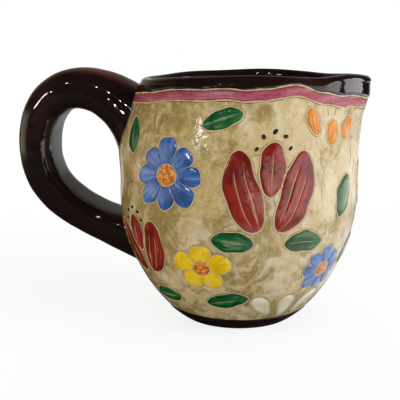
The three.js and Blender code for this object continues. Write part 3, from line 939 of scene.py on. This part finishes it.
def band_shape(wall, low, high, rows, lift):
    """Closed band on the wall between two lengths along it, its edges rounded off and marked."""
    bearings = round_bearings()[:, None]
    low, high = low[:, None], high[:, None]
    along = low + (high - low) * np.linspace(0, 1, rows)
    edge = np.minimum(along - low, high - along)
    out = lift * smooth(edge / BAND_ROUND) - BAND_TUCK * (1 - smooth(edge / TUCK_RUN))
    outer = wall.at(bearings, along, out)
    inner = wall.at(bearings, along, -BAND_DEPTH)
    inner[:, [0, -1]] = outer[:, [0, -1]]
    shape = Shape()
    shape.add_grid(outer, 1 - np.clip(edge / MARK_RUN, 0, 1), closed=True)
    shape.add_grid(inner, closed=True, flip=True)
    return shape


def strap_spine(strap, wall):
    """Middle line of the strap as radius and height, from its upper root to its lower one."""

    def root(height, way, sink):
        along = wall.along_at([HANDLE], [height])[0]
        point = wall.section(np.array(HANDLE), np.array(along))
        return point - way / np.linalg.norm(way) * sink

    upper_way = np.array((strap.upper_run, strap.upper_climb))
    lower_way = np.array((strap.lower_run, strap.lower_climb))
    upper = root(strap.upper_height, upper_way, strap.upper_sink)
    lower = root(strap.lower_height, lower_way, strap.lower_sink)
    outermost = np.array((wall.pot.belly_radius + strap.reach, strap.height))
    above = outermost + (0, strap.shoulder)
    below = outermost - (0, strap.drop)
    arch = bezier([upper, upper + upper_way, above, outermost], STRAP_STEPS)
    fall = bezier([outermost, below, lower + lower_way, lower], STRAP_STEPS)
    return even(np.concatenate((arch, fall[1:])), STRAP_RINGS + 1)[0]


def strap_grid():
    """Shares of the strap's length, and angles round it."""
    way = np.linspace(0, 1, STRAP_RINGS + 1)[:, None]
    return way, np.linspace(0, 2 * np.pi, STRAP_SIDES, endpoint=False)[None]


def near_root(way, spread):
    """1 at a root of the strap, falling to 0 over a share of its length."""
    return np.maximum(0, 1 - way / spread) ** 2


def squashed(values, power):
    return np.sign(values) * np.abs(values) ** power


def strap_points(strap, wall):
    """Rings of points round the strap, from its upper root to its lower one."""
    spine = strap_spine(strap, wall)
    way, angle = strap_grid()
    tangent = np.gradient(spine, axis=0)
    tangent /= np.linalg.norm(tangent, axis=1, keepdims=True)
    normal = np.stack((-tangent[:, 1], tangent[:, 0]), axis=1)
    upper = near_root(way, strap.flare_length)
    lower = near_root(1 - way, strap.flare_length)
    thick = strap.top + (strap.low - strap.top) * way
    thick = thick + strap.upper_flare * upper + strap.lower_flare * lower
    wide = strap.width + strap.root_spread * (upper + lower)
    fill = strap.upper_fill * near_root(way, strap.fill_length)
    fill = fill + strap.lower_fill * near_root(1 - way, strap.fill_length)
    outer = strap.outer_roundness
    inner = strap.inner_roundness + (outer - strap.inner_roundness) * (upper + lower)
    power = np.where(np.cos(angle) > 0, outer, inner)
    hand = 1
    for part, along, around in STRAP_WAVES:
        hand = hand + part * np.sin(along * way + around * angle)
    face = squashed(np.cos(angle), power)
    across = thick / 2 * face * hand + np.minimum(face, 0) * fill
    aside = wide / 2 * squashed(np.sin(angle), power) * hand
    section = spine[:, None] + normal[:, None] * across[..., None]
    points = turned(np.full(section.shape[:2], HANDLE), section)
    points[..., 1] += aside
    return points


def worn_crest():
    """Marks of the strap's outer crest near the upper root, where a reddish sheen is painted on the
    glaze.
    """
    way, angle = strap_grid()
    crest = smooth((np.cos(angle) - 0.6) / 0.35)
    return 0.8 * crest * np.exp(-(((way - 0.11) / 0.06) ** 2))


def over_wall(line, wall):
    """Bearing, length along the wall and distance out from it at the points of a line."""
    bearing = np.degrees(np.arctan2(line[:, 0], -line[:, 1]))
    along = wall.along_at(bearing, line[:, 2])
    return bearing, along, np.hypot(line[:, 0], line[:, 1]) - wall.raised(bearing, along)[..., 0]


def seam_line(points, wall, from_top):
    """Bearing and length along the wall where the strap's sides come out of it at one root."""
    rings = points if from_top else points[::-1]
    crossing = []
    for side in range(rings.shape[1]):
        bearing, along, clear = over_wall(rings[:, side], wall)
        last = int(np.argmax(clear > 0))
        first = last - 1
        part = clear[first] / (clear[first] - clear[last])
        crossing.append([v[first] + (v[last] - v[first]) * part for v in (bearing, along)])
    return np.array(crossing)


def rooted(points, wall):
    """The strap's rings drawn out again between its two roots, which end just inside the wall."""
    rings = points.shape[0]
    for side in range(points.shape[1]):
        line = points[:, side]
        clear = over_wall(line, wall)[2] + ROOT_DEPTH
        first, last = np.flatnonzero(clear > 0)[[0, -1]]
        start, stop = 0, rings - 1
        if first > 0:
            start = first - clear[first] / (clear[first] - clear[first - 1])
        if last < rings - 1:
            stop = last + clear[last] / (clear[last] - clear[last + 1])
        stations = np.linspace(start, stop, rings)
        axes = [np.interp(stations, np.arange(rings), axis) for axis in line.T]
        points[:, side] = np.stack(axes, axis=1)
    return points


def capped_loft(points, marks):
    """Closed shape over rings of points, with a fan at each end."""
    shape = Shape()
    shape.add_grid(looped(points), looped(marks))
    for ring in (points[0], points[-1]):
        shape.add_fan(ring)
    return shape


# Section of a scratched line: place across from -1 to 1, share of the burr's height, and stain,
# which also paints a shadow along the line's left side
LINE_SECTION = np.array(
    [(-1, -0.8, 1), (-0.75, 0.4, 1), (-0.45, 0.9, 0.7), (-0.2, 0.8, 0), (0.1, 0.6, 0)]
    + [(0.45, 1, 0), (0.75, 0.5, 0), (1, -0.8, 0), (0, -1.6, 0)]
)


def add_line(shape, wall, bearing, along, width, burr, phase=0.0, closed=True, stained=False):
    """A scratched line along points of the wall: a low ridge of clay, with stain and a painted
    shadow along its left, or stained all over. It thins out towards open ends."""
    path = np.stack((np.asarray(bearing, float), np.asarray(along, float)), axis=1)
    radius = wall.radius(path[:, 0], path[:, 1])
    count = np.arange(len(path))
    turn = 2 * np.pi * count / len(path)
    slow, quick = (round(rate * len(path) / (2 * np.pi)) for rate in (0.55, 1.3))
    uneven = 1 + 0.22 * np.sin(slow * turn + phase) + 0.12 * np.sin(quick * turn + 2 * phase)
    breadth = width / 2 * uneven
    if closed:
        way = np.roll(path, -1, axis=0) - np.roll(path, 1, axis=0)
        way[:, 0] = (way[:, 0] + 180) % 360 - 180
    else:
        way = np.gradient(path, axis=0)
        breadth = breadth * np.minimum(1, 0.25 + 3 * np.minimum(count, count[::-1]) / len(path))
    way[:, 0] *= math.radians(1) * np.mean(radius)
    way /= np.linalg.norm(way, axis=1, keepdims=True) + 1e-12
    side = np.stack((way[:, 1], -way[:, 0]), axis=1)
    across, height, stain = LINE_SECTION.T
    offset = side[:, None] * (breadth[:, None] * across)[..., None]
    here = path[:, None, 0] + np.degrees(offset[..., 0] / radius[:, None])
    points = wall.at(here, path[:, None, 1] + offset[..., 1], burr * height)
    marks = np.ones((1, len(stain))) if stained else stain[None]
    shape.add_grid(looped(points), looped(marks), closed=closed)
    if not closed:
        for ring in (points[0], points[-1]):
            shape.add_fan(ring, marks.T)


def cell_height(sizes, inset, deepest):
    """Height of enamel at a distance in from its edge: a quick rise, then a low crown."""
    inset = np.maximum(inset, 0)
    rise = sizes.rise * (1 - np.exp(-inset * MM / sizes.edge))
    return rise + sizes.crown * (1 - (1 - np.clip(inset / deepest, 0, 1)) ** 2)


def add_cell(shape, wall, motif, x, y, height, marks=0.0, brush=None, closed=True):
    """Closed pillow of enamel: a top of the given heights over a bed just below the slip's face."""
    bearing, along = wall.drawn(motif, x, y)
    top = wall.at(bearing, along, height)
    bed = wall.at(bearing, along, np.where(height > 0, -CELL_BED, 0.0))
    shape.add_grid(top, marks, brush, closed=closed)
    shape.add_grid(bed, closed=closed, flip=True)


# Places across a petal from -1 to 1, close together at its edges, and half the width of a cut line
PETAL_COLUMNS = np.array([0.0, 0.2, 0.4, 0.58, 0.72, 0.83, 0.91, 0.96, 0.985, 1.0])
CUT_WIDTH = 0.08


def petal_columns(cuts):
    places = [PETAL_COLUMNS, -PETAL_COLUMNS]
    for cut in cuts:
        places.append(cut + CUT_WIDTH * np.array([-1, -0.5, 0, 0.5, 1]))
    return np.unique(np.round(np.concatenate(places), 4))


def petal_half(way, side, waver, phase, wide, point=1.0, fullness=0.0):
    """Half width of a petal at shares of its length, drawn by an unsteady hand."""
    half = wide / 2 * (1 + fullness * (way - 0.5)) * (2 * np.sqrt(way * (1 - way))) ** point
    unsteady = np.sin(7 * way + phase + 2 * side) + 0.6 * np.sin(15 * way + 2 * phase - side)
    return half * (1 + waver * unsteady)


def petal_cell(
    sizes, wall, motif, phase, cuts, long, wide, bend=0.0, spin=0.0, foot=(0, 0), size=1.0, **edge
):
    """A petal or leaf as a closed pillow, and its outline as bearing and length along the wall."""
    way = (1 - np.cos(np.pi * np.linspace(0, 1, PETAL_ROWS))) / 2
    halves = [petal_half(way, side, sizes.waver, phase, wide, **edge) for side in (-1, 1)]
    middle = bend * way**2
    across = petal_columns(cuts)[:, None]
    half = np.where(across < 0, *halves)

    def on_drawing(local_x, local_y):
        x = foot[0] + local_x * math.cos(spin) + local_y * math.sin(spin)
        y = foot[1] + local_y * math.cos(spin) - local_x * math.sin(spin)
        return x * size, y * size

    x, y = on_drawing(across * half + middle, np.broadcast_to(way * long, half.shape))
    inset = (1 - np.abs(across)) * half * size
    height = cell_height(sizes, inset, 0.5 * wide * size)
    marks = np.zeros_like(height)
    run = smooth(way / 0.15) * smooth((0.88 - way) / 0.2)
    for cut in cuts:
        groove = np.clip(1 - np.abs(across - cut) / CUT_WIDTH, 0, 1) * run
        height = height - sizes.vein * groove
        marks = marks + groove
    height[[0, -1]] = 0
    height[:, [0, -1]] = 0
    shape = Shape()
    add_cell(shape, wall, motif, x, y, height, marks, (across, way[None], phase), closed=False)
    clear = 0.5 * sizes.line / MM / size
    span = way * (long + 2 * clear) - clear
    left, right = middle - (halves[0] + clear), halves[1] + clear + middle
    rim = on_drawing(np.concatenate((left, right[::-1])), np.concatenate((span, span[::-1])))
    return shape, wall.drawn(motif, *rim)


# Places within one lobe of a rosette, from one notch to the next, and from its eye to its edge
LOBE_STOPS = np.array(
    [0.0, 0.025, 0.05, 0.09, 0.15, 0.24, 0.36, 0.5, 0.64, 0.76, 0.85, 0.91, 0.95, 0.975]
)
LOBE_RINGS = np.array([0.0, 0.02, 0.06, 0.14, 0.28, 0.45, 0.62, 0.76, 0.87, 0.94, 0.975, 1.0])


def on_circle(radius, angle):
    """Places on the drawing round a motif's centre."""
    return -radius * np.sin(angle), radius * np.cos(angle)


def rosette_reach(sizes, form, phase):
    """Radius and angle of a rosette's outline at the stops of each lobe."""
    stops = LOBE_STOPS[None]
    lobes = np.arange(form["lobes"])[:, None]
    swell = 1 - form["notch"] * (1 - np.sqrt(np.sin(np.pi * stops)))
    waves = 0.8 * np.sin(2.4 * lobes + phase) + 0.35 * np.sin(9 * stops + lobes)
    angle = 2 * np.pi * (lobes + stops - 0.5) / form["lobes"]
    return (form["radius"] * swell * (1 + sizes.waver * waves)).ravel(), angle.ravel()


def rosette_cell(sizes, wall, motif, form, phase):
    """A ring of petals round an eye, grooved between neighbours, and its outline on the wall."""
    reach, angle = rosette_reach(sizes, form, phase)
    bore = form["eye"] + EYE_GAP
    radius = bore + (reach - bore)[:, None] * LOBE_RINGS
    stops = np.tile(LOBE_STOPS, form["lobes"])[:, None]
    from_notch = np.minimum(stops, 1 - stops)
    side = from_notch * 2 * np.pi / form["lobes"] * radius
    inset = np.minimum(np.minimum(radius - bore, reach[:, None] - radius), side * 1.3 + 0.25)
    height = cell_height(sizes, inset, 0.3 * form["radius"])
    cut = np.clip(1 - from_notch / 0.05, 0, 1) * smooth((LOBE_RINGS - 0.02) / 0.1)
    cut = cut * smooth((1.0 - LOBE_RINGS) / 0.06)
    height = np.maximum(height - sizes.vein * 0.6 * cut, 0.05 * MM)
    height[:, [0, -1]] = 0
    lobe = np.repeat(np.arange(form["lobes"]), len(LOBE_STOPS))[:, None]
    brush = (2 * stops - 1, LOBE_RINGS[None], lobe + phase)
    shape = Shape()
    add_cell(shape, wall, motif, *on_circle(radius, angle[:, None]), height, cut, brush)
    rim = reach + 0.5 * sizes.line / MM
    return shape, wall.drawn(motif, *on_circle(rim[::-1], angle[::-1]))


def dome_grid(sides, rings):
    """Angles round a dome, and shares of its radius that crowd towards its edge."""
    angle = np.linspace(0, 2 * np.pi, sides, endpoint=False)[:, None]
    return angle, np.sin(np.linspace(0, np.pi / 2, rings))


def eye_cell(sizes, wall, motif, form, phase):
    """A flower's eye: a low dome, stippled all over, and the ring round it."""
    angle, ring = dome_grid(EYE_SIDES, EYE_RINGS)
    x, y = on_circle(form["eye"] * ring * (1 + 0.04 * np.sin(3 * angle + phase)), angle)
    stipple = EYE_STIPPLE * np.sin(2.6 * x + phase) * np.sin(2.6 * y + 1.7 * phase)
    height = cell_height(sizes, form["eye"] * (1 - ring) + 0 * angle, form["eye"]) * 1.1
    height = height + stipple * (1 - ring) ** 0.5
    height[:, -1] = 0
    shape = Shape()
    add_cell(shape, wall, motif, x, y, height)
    return shape, wall.drawn(motif, *on_circle(form["eye"] + EYE_GAP / 2, angle[:, 0]))


def add_seed(shape, wall, motif, x, y, radius):
    """A raised dot of glaze."""
    angle, ring = dome_grid(SEED_SIDES, SEED_RINGS)
    height = np.tile(SEED_HEIGHT * np.sqrt(1 - ring**2), (SEED_SIDES, 1))
    height[:, -1] = 0
    spread = radius * ring * (1 + 0.15 * np.sin(2 * angle + x))
    add_cell(shape, wall, motif, x + spread * np.sin(angle), y + spread * np.cos(angle), height)


def motif_on(side, bearing, height, tilt=0.0):
    """A motif's place; the back mirrors the front across the plane of handle and lip."""
    if side == "front":
        return bearing, height, tilt
    return 180 - bearing, height, -tilt


class CupOperator:
    """What the operators share: sizes, colours, the wall and the outlines of the cells on it."""

    bl_options = {"REGISTER", "UNDO"}
    outlines = []

    def prepare(self, context):
        self.pot = context.scene.cup_pot
        self.strap = context.scene.cup_strap
        self.sizes = context.scene.cup_enamel
        self.tints = context.scene.cup_colours
        self.wall = Wall(self.pot)

    def finish(self, make):
        """A finish, made once for all the pieces that share it."""
        return bpy.data.materials.get(make.__name__) or make(self.tints)

    def enamel(self, name):
        return bpy.data.materials.get("brushed_" + name) or brushed_enamel(name, self.tints)

    def add_enamel(self, name, cell, tint, finish=None):
        shape, outline = cell
        add_piece(name + "_cell", shape, finish or self.enamel(tint), tint + "_enamel", name)
        self.outlines.append(outline)


class CUP_OT_pot(CupOperator, bpy.types.Operator):
    """Throw the pot: foot, wall, rolled rim with its lip, and the hollow inside"""

    bl_idname = "cup.pot"
    bl_label = "Pot"

    def execute(self, context):
        self.prepare(context)
        shape = pot_shape(self.pot, self.wall)
        add_piece("thrown_pot", shape, self.finish(run_glaze), "dark_glaze", "cup_body")
        return {"FINISHED"}


class CUP_OT_handle(CupOperator, bpy.types.Operator):
    """Pull the strap handle and smooth clay round its roots"""

    bl_idname = "cup.handle"
    bl_label = "Handle"

    def execute(self, context):
        self.prepare(context)
        points = strap_points(self.strap, self.wall)
        seams = Shape()
        for from_top in (True, False):
            line = seam_line(points, self.wall, from_top)
            add_line(seams, self.wall, line[:, 0], line[:, 1], self.strap.seam, SEAM_HEIGHT)
        strap = capped_loft(rooted(points, self.wall), worn_crest())
        add_piece("strap_handle", strap, self.finish(run_glaze), "dark_glaze", "handle")
        add_piece("handle_seams", seams, self.finish(seam_clay), "slip")
        return {"FINISHED"}


class CUP_OT_slip(CupOperator, bpy.types.Operator):
    """Coat the wall with slip and lay the stripe under the rim"""

    bl_idname = "cup.slip"
    bl_label = "Slip and stripe"

    def execute(self, context):
        self.prepare(context)
        bands = self.wall.bands(round_bearings())
        coat_top = bands["coat_top"] + COAT_LAP
        coat = band_shape(self.wall, bands["coat_foot"], coat_top, COAT_ROWS, 0.0)
        add_piece("mottled_coat", coat, self.finish(mottled_slip), "slip", "slip_coat")
        stripe = band_shape(
            self.wall, bands["stripe_foot"], bands["stripe_top"], STRIPE_ROWS, STRIPE_LIFT
        )
        add_piece("brushed_stripe", stripe, self.finish(stripe_slip), "crimson", "rim_stripe")
        return {"FINISHED"}


class CUP_OT_tulips(CupOperator, bpy.types.Operator):
    """Lay the red petals of the tulips, and the seeds over them"""

    bl_idname = "cup.tulips"
    bl_label = "Tulips"

    def execute(self, context):
        self.prepare(context)
        mirrored = {**TULIP_WING, "bend": -TULIP_WING["bend"]}
        petals = {
            "heart": {"foot": (0, HEART_LIFT), **TULIP_HEART},
            "left_wing": {"spin": -WING_SPLAY, "foot": (-WING_ASIDE, 0), **TULIP_WING},
            "right_wing": {"spin": WING_SPLAY, "foot": (WING_ASIDE, 0), **mirrored},
        }
        seeds = Shape()
        for side in ("front", "back"):
            for name, (bearing, height, tilt, size) in TULIPS.items():
                motif = motif_on(side, bearing, height, tilt)
                for phase, (part, form) in enumerate(petals.items(), bearing):
                    cuts = TULIP_CUTS[part]
                    cell = petal_cell(self.sizes, self.wall, motif, phase, cuts, size=size, **form)
                    self.add_enamel(f"{side}_{name}_{part}", cell, "red")
                for x, y, radius in TULIP_SEEDS:
                    add_seed(seeds, self.wall, motif, x * size, y * size, radius * size)
        add_piece("tulip_seeds", seeds, self.finish(run_glaze), "dark_glaze")
        return {"FINISHED"}


class CUP_OT_rosettes(CupOperator, bpy.types.Operator):
    """Lay the daisies and stars, with their eyes"""

    bl_idname = "cup.rosettes"
    bl_label = "Daisies and stars"

    def execute(self, context):
        self.prepare(context)
        places = {"lip_star": ("front", *LIP_STAR)}
        for side in ("front", "back"):
            for name, place in ROSETTES.items():
                places[f"{side}_{name}"] = (side, *place)
        for name, (side, bearing, height, form, tint) in places.items():
            motif = motif_on(side, bearing, height)
            petals = rosette_cell(self.sizes, self.wall, motif, form, bearing)
            self.add_enamel(name + "_petals", petals, tint)
            eye = eye_cell(self.sizes, self.wall, motif, form, bearing)
            self.add_enamel(name + "_eye", eye, "orange", self.finish(stippled_eye))
        return {"FINISHED"}


class CUP_OT_leaves(CupOperator, bpy.types.Operator):
    """Lay the veined leaves, the buds and the drops"""

    bl_idname = "cup.leaves"
    bl_label = "Leaves, buds and drops"

    def execute(self, context):
        self.prepare(context)
        for side in ("front", "back"):
            for number, (*place, long, wide) in enumerate(LEAVES, 1):
                leaf = {"long": long, "wide": wide, "point": LEAF_POINT}
                self.lay(side, f"leaf_{number}", place, leaf, "green", LEAF_CUTS)
            for number, place in enumerate(BUDS, 1):
                self.lay(side, f"bud_{number}", place, BUD, "orange", BUD_CUTS)
            for number, place in enumerate(DROPS, 1):
                self.lay(side, f"drop_{number}", place, DROP, "white", DROP_CUTS)
        return {"FINISHED"}

    def lay(self, side, name, place, outline, tint, cuts):
        motif = motif_on(side, *place)
        cell = petal_cell(self.sizes, self.wall, motif, sum(place), cuts, **outline)
        self.add_enamel(f"{side}_{name}", cell, tint)


class CUP_OT_lines(CupOperator, bpy.types.Operator):
    """Scratch the outlines of the cells, the edges of the stripe, the stems and the strokes"""

    bl_idname = "cup.lines"
    bl_label = "Scratched lines"

    def execute(self, context):
        self.prepare(context)
        wall, width, burr = self.wall, self.sizes.line, self.sizes.burr
        shape = Shape()
        for number, (bearing, along) in enumerate(self.outlines):
            add_line(shape, wall, bearing, along, width, burr, number)
        turn = round_bearings()[::-1]
        bands = wall.bands(turn)
        for number, (edge, above) in enumerate(STRIPE_LINES.items()):
            line = (STRIPE_WIDTH * width, STRIPE_BURR * burr, 3 * number)
            add_line(shape, wall, turn, bands[edge] + above, *line)
        for side in ("front", "back"):
            for number, stem in enumerate(STEMS):
                path = even(np.array(stem, dtype=float), STEM_STEPS)[0]
                path[:, 0] += 0.5 * np.sin(np.linspace(0, 5, STEM_STEPS) + number)
                bearing = motif_on(side, path[:, 0], 0)[0]
                along = wall.height_along(bearing, path[:, 1])
                add_line(shape, wall, bearing, along, STEM_WIDTH * width, burr, number, False)
            for scratches, curl, breadth, ridge, stained in SCRATCHES:
                for number, (*place, reach) in enumerate(scratches):
                    y = np.linspace(0, reach, SCRATCH_STEPS)
                    path = wall.drawn(motif_on(side, *place), curl * y**1.5, y)
                    line = (breadth * width, ridge * burr, number, False, stained)
                    add_line(shape, wall, *path, *line)
        add_piece("scratched_lines", shape, self.finish(scratched_clay), "slip")
        return {"FINISHED"}


# The camera: its distance from the cup's axis, its height, how far aside it is, how far it has
# swung round to the lip's side, how far down it looks, and its field of view
CAMERA_DISTANCE = 0.310
CAMERA_HEIGHT = 0.10934
CAMERA_ASIDE = -0.01533
CAMERA_SWING = math.radians(6.0)
CAMERA_PITCH = math.radians(11.41)
CAMERA_FIELD = math.radians(28.66)
CAMERA_NEAR = 0.01

# Lamps: bearing and elevation from the cup's middle in degrees, distance, width, height, watts,
# colour, and whether the glaze shows it or it lights the cup
LAMPS = {
    "daylight": (72, 18, 1.2, 0.9, 0.5, 10.8, "ffffff", False),
    "ceiling": (10, 72, 1.1, 1.0, 1.0, 2.2, "ffffff", False),
    "front": (-6, 2, 1.1, 0.9, 0.25, 3.5, "f0f2ff", False),
    "left": (-72, 4, 1.2, 0.9, 0.3, 6.2, "fffaf0", False),
    "back_fill": (-150, 35, 1.2, 0.9, 0.8, 5.0, "ffffff", False),
    "window_wide": (66, 4, 1.0, 0.75, 0.17, 0.75, "f4f4ff", True),
    "window_left": (94, 12, 0.9, 0.24, 0.36, 0.8, "f4f4ff", True),
    "window_right": (116, 12, 0.9, 0.28, 0.36, 0.96, "f4f4ff", True),
    "bulb_1": (-11, 27.4, 1.1, 0.024, 0.024, 0.5, "ffffff", True),
    "bulb_2": (-24, 27.4, 1.1, 0.024, 0.024, 0.5, "ffffff", True),
    "bulb_3": (-26, 7.5, 1.1, 0.024, 0.024, 0.35, "ffffff", True),
    "bulb_4": (-36, 9, 1.1, 0.12, 0.1, 1.1, "ffffff", True),
}
LAMP_TARGET = Vector((0, 0, 0.055))
# Strength of the room's soft light on the cup
ROOM_FILL = 0.14
# Bearing of the bright wall on the left that the glaze shows
LEFT_WALL = -85
# The floor: half its size, how far below the foot it lies, and its glow to the camera and to glaze
FLOOR_REACH = 3.0
FLOOR_DROP = 0.0002
PAPER_GLOW = (1.07, 1.07, 1.07)
ROOM_GLOW = (2.4, 2.4, 2.4)
WARM_GLOW = (2.4, 2.09, 1.54)


class CUP_OT_stage(bpy.types.Operator):
    """Set the floor, the lamps, the pale room and the camera"""

    bl_idname = "cup.stage"
    bl_label = "Stage"

    def execute(self, context):
        scene = context.scene
        scene.view_settings.view_transform = "Standard"
        self.add_floor(scene)
        self.light_room(scene)
        for name, lamp in LAMPS.items():
            self.add_lamp(scene, name, *lamp)
        self.add_camera(scene)
        return {"FINISHED"}

    def add_floor(self, scene):
        """Pale paper that glows to the camera and keeps the shadow; glaze sees only parts of it."""
        mesh = bpy.data.meshes.new("floor")
        near, far = -FLOOR_REACH, FLOOR_REACH
        corners = [(near, near, 0), (far, near, 0), (far, far, 0), (near, far, 0)]
        mesh.from_pydata(corners, [], [(0, 1, 2, 3)])
        floor = bpy.data.objects.new("floor", mesh)
        floor.location.z = -FLOOR_DROP
        scene.collection.objects.link(floor)
        paint = new_paint("floor_paper")
        seen, shiny = paint.rays()
        place = paint.place()
        away = paint.node("ShaderNodeVectorMath", {0: place}, output="Value", operation="LENGTH")

        def towards(bearing):
            return paint.towards(place, bearing)

        def facing(bearing):
            return towards(bearing) / away

        pale = paint.mix(paint.noise(40, detail=2), linear("f2f2f0"), linear("f8f8f6"))
        lit_side = paint.mix(towards(50).step(-0.12, 0.2), linear("bcbab6"), linear("f2f0ec"))
        unseen = paint.mix(shiny, lit_side, linear("302e2c"))
        paper = paint.surface(Base_Color=paint.mix(seen, unseen, pale), Roughness=0.9)
        streak = towards(-139).step(0.12, 0.3) * (1 - abs(towards(-49)).step(0.02, 0.07))
        right = towards(90).step(0.08, 0.3) * (1 - towards(180).step(0.2, 0.6))
        beside = towards(75).step(0.025, 0.05) * (1 - away.step(0.1, 0.2))
        behind = facing(175).step(0.86, 0.95) * away.step(0.05, 0.3)
        left = facing(LEFT_WALL).step(0.76, 1.0) * away.step(0.2, 0.7)
        shown = 0.21 * behind + 0.85 * right + 0.55 * beside + 0.4 * streak + 0.54 * left
        room_tint = paint.mix(facing(LEFT_WALL).step(0.3, 0.8), ROOM_GLOW, WARM_GLOW)
        bright = paint.mix(shiny, PAPER_GLOW, room_tint)
        glow = paint.node("ShaderNodeEmission", {"Color": bright, "Strength": 1.0})
        lit = Value(paint, paint.tree.nodes["Principled BSDF"].outputs[0])
        glowing = seen * (0.8 + 0.2 * away.step(0.12, 0.5)) + shiny * shown
        mixed = paint.node("ShaderNodeMixShader", {0: glowing, 1: lit, 2: glow})
        paint.feed(paint.tree.nodes["Material Output"].inputs["Surface"], mixed)
        mesh.materials.append(paper)

    def light_room(self, scene):
        """White to the camera, a soft fill for the cup, and a dim room for the glaze to show."""
        scene.world = bpy.data.worlds.new("room")
        paint = Paint(scene.world)
        seen, shiny = paint.rays()
        way = paint.node("ShaderNodeTexCoord", output="Generated")
        rightwards, back, climb = (paint.axis(way, name) for name in "XYZ")
        daylight = rightwards.step(-0.7, 0.7)
        backdrop = back.step(0.2, 0.9) * (1 - rightwards.step(0.3, 0.5))
        low = 1 - climb.step(0.0, 0.25)
        left = paint.towards(way, LEFT_WALL).step(0.76, 1.0) * (1 - abs(climb).step(0.06, 0.24))
        mirrored = 0.012 + backdrop * (0.21 + 0.3 * low) + 1.3 * left
        soft = ROOM_FILL * (0.8 + 0.4 * daylight)
        room = shiny * mirrored + (1 - shiny) * soft
        tint = paint.mix(seen.at_least(daylight), linear("fff0d2"), (1, 1, 1))
        background = paint.tree.nodes["Background"]
        paint.feed(background.inputs["Color"], tint)
        paint.feed(background.inputs["Strength"], seen + (1 - seen) * room)

    def add_lamp(self, scene, name, bearing, elevation, distance, *light):
        width, height, watts, tint, shown = light
        data = bpy.data.lights.new(name, "AREA")
        data.shape = "RECTANGLE"
        data.size, data.size_y, data.energy = width, height, watts
        data.color = linear(tint)
        lamp = bpy.data.objects.new(name, data)
        way = heading(bearing, elevation)
        lamp.location = LAMP_TARGET + way * distance
        lamp.rotation_euler = (-way).to_track_quat("-Z", "Y").to_euler()
        lamp.visible_camera = False
        lamp.visible_glossy = shown
        lamp.visible_diffuse = not shown
        scene.collection.objects.link(lamp)

    def add_camera(self, scene):
        data = bpy.data.cameras.new("camera")
        data.angle = CAMERA_FIELD
        data.clip_start = CAMERA_NEAR
        camera = bpy.data.objects.new("camera", data)
        right = Vector((math.cos(CAMERA_SWING), math.sin(CAMERA_SWING), 0))
        ahead = Vector((-math.sin(CAMERA_SWING), math.cos(CAMERA_SWING), 0))
        up = Vector((0, 0, 1))
        camera.location = right * CAMERA_ASIDE - ahead * CAMERA_DISTANCE + up * CAMERA_HEIGHT
        look = ahead * math.cos(CAMERA_PITCH) - up * math.sin(CAMERA_PITCH)
        camera.rotation_euler = look.to_track_quat("-Z", "Y").to_euler()
        scene.collection.objects.link(camera)
        scene.camera = camera


class CUP_PT_panel(bpy.types.Panel):
    """Lists the steps that build the cup"""

    bl_idname = "CUP_PT_panel"
    bl_label = "Stoneware Cup"
    bl_space_type = "VIEW_3D"
    bl_region_type = "UI"
    bl_category = "Cup"

    def draw(self, context):
        for step in STEPS:
            self.layout.operator(step.bl_idname)
        for group in GROUPS:
            box = self.layout.box()
            settings = getattr(context.scene, group)
            for name in settings.__annotations__:
                box.prop(settings, name)


GROUPS = {
    "cup_pot": PotSizes,
    "cup_strap": StrapSizes,
    "cup_enamel": EnamelSizes,
    "cup_colours": Colours,
}
STEPS = (
    CUP_OT_pot,
    CUP_OT_handle,
    CUP_OT_slip,
    CUP_OT_tulips,
    CUP_OT_rosettes,
    CUP_OT_leaves,
    CUP_OT_lines,
    CUP_OT_stage,
)


def register():
    for group in GROUPS.values():
        bpy.utils.register_class(group)
    for name, group in GROUPS.items():
        setattr(bpy.types.Scene, name, PointerProperty(type=group))
    for step in STEPS:
        bpy.utils.register_class(step)
    bpy.utils.register_class(CUP_PT_panel)


def unregister():
    bpy.utils.unregister_class(CUP_PT_panel)
    for step in reversed(STEPS):
        bpy.utils.unregister_class(step)
    for name, group in GROUPS.items():
        delattr(bpy.types.Scene, name)
        bpy.utils.unregister_class(group)


def main():
    register()
    bpy.ops.cup.pot()
    bpy.ops.cup.handle()
    bpy.ops.cup.slip()
    bpy.ops.cup.tulips()
    bpy.ops.cup.rosettes()
    bpy.ops.cup.leaves()
    bpy.ops.cup.lines()
    bpy.ops.cup.stage()
    bpy.context.view_layer.update()


if __name__ == "__main__":
    main()
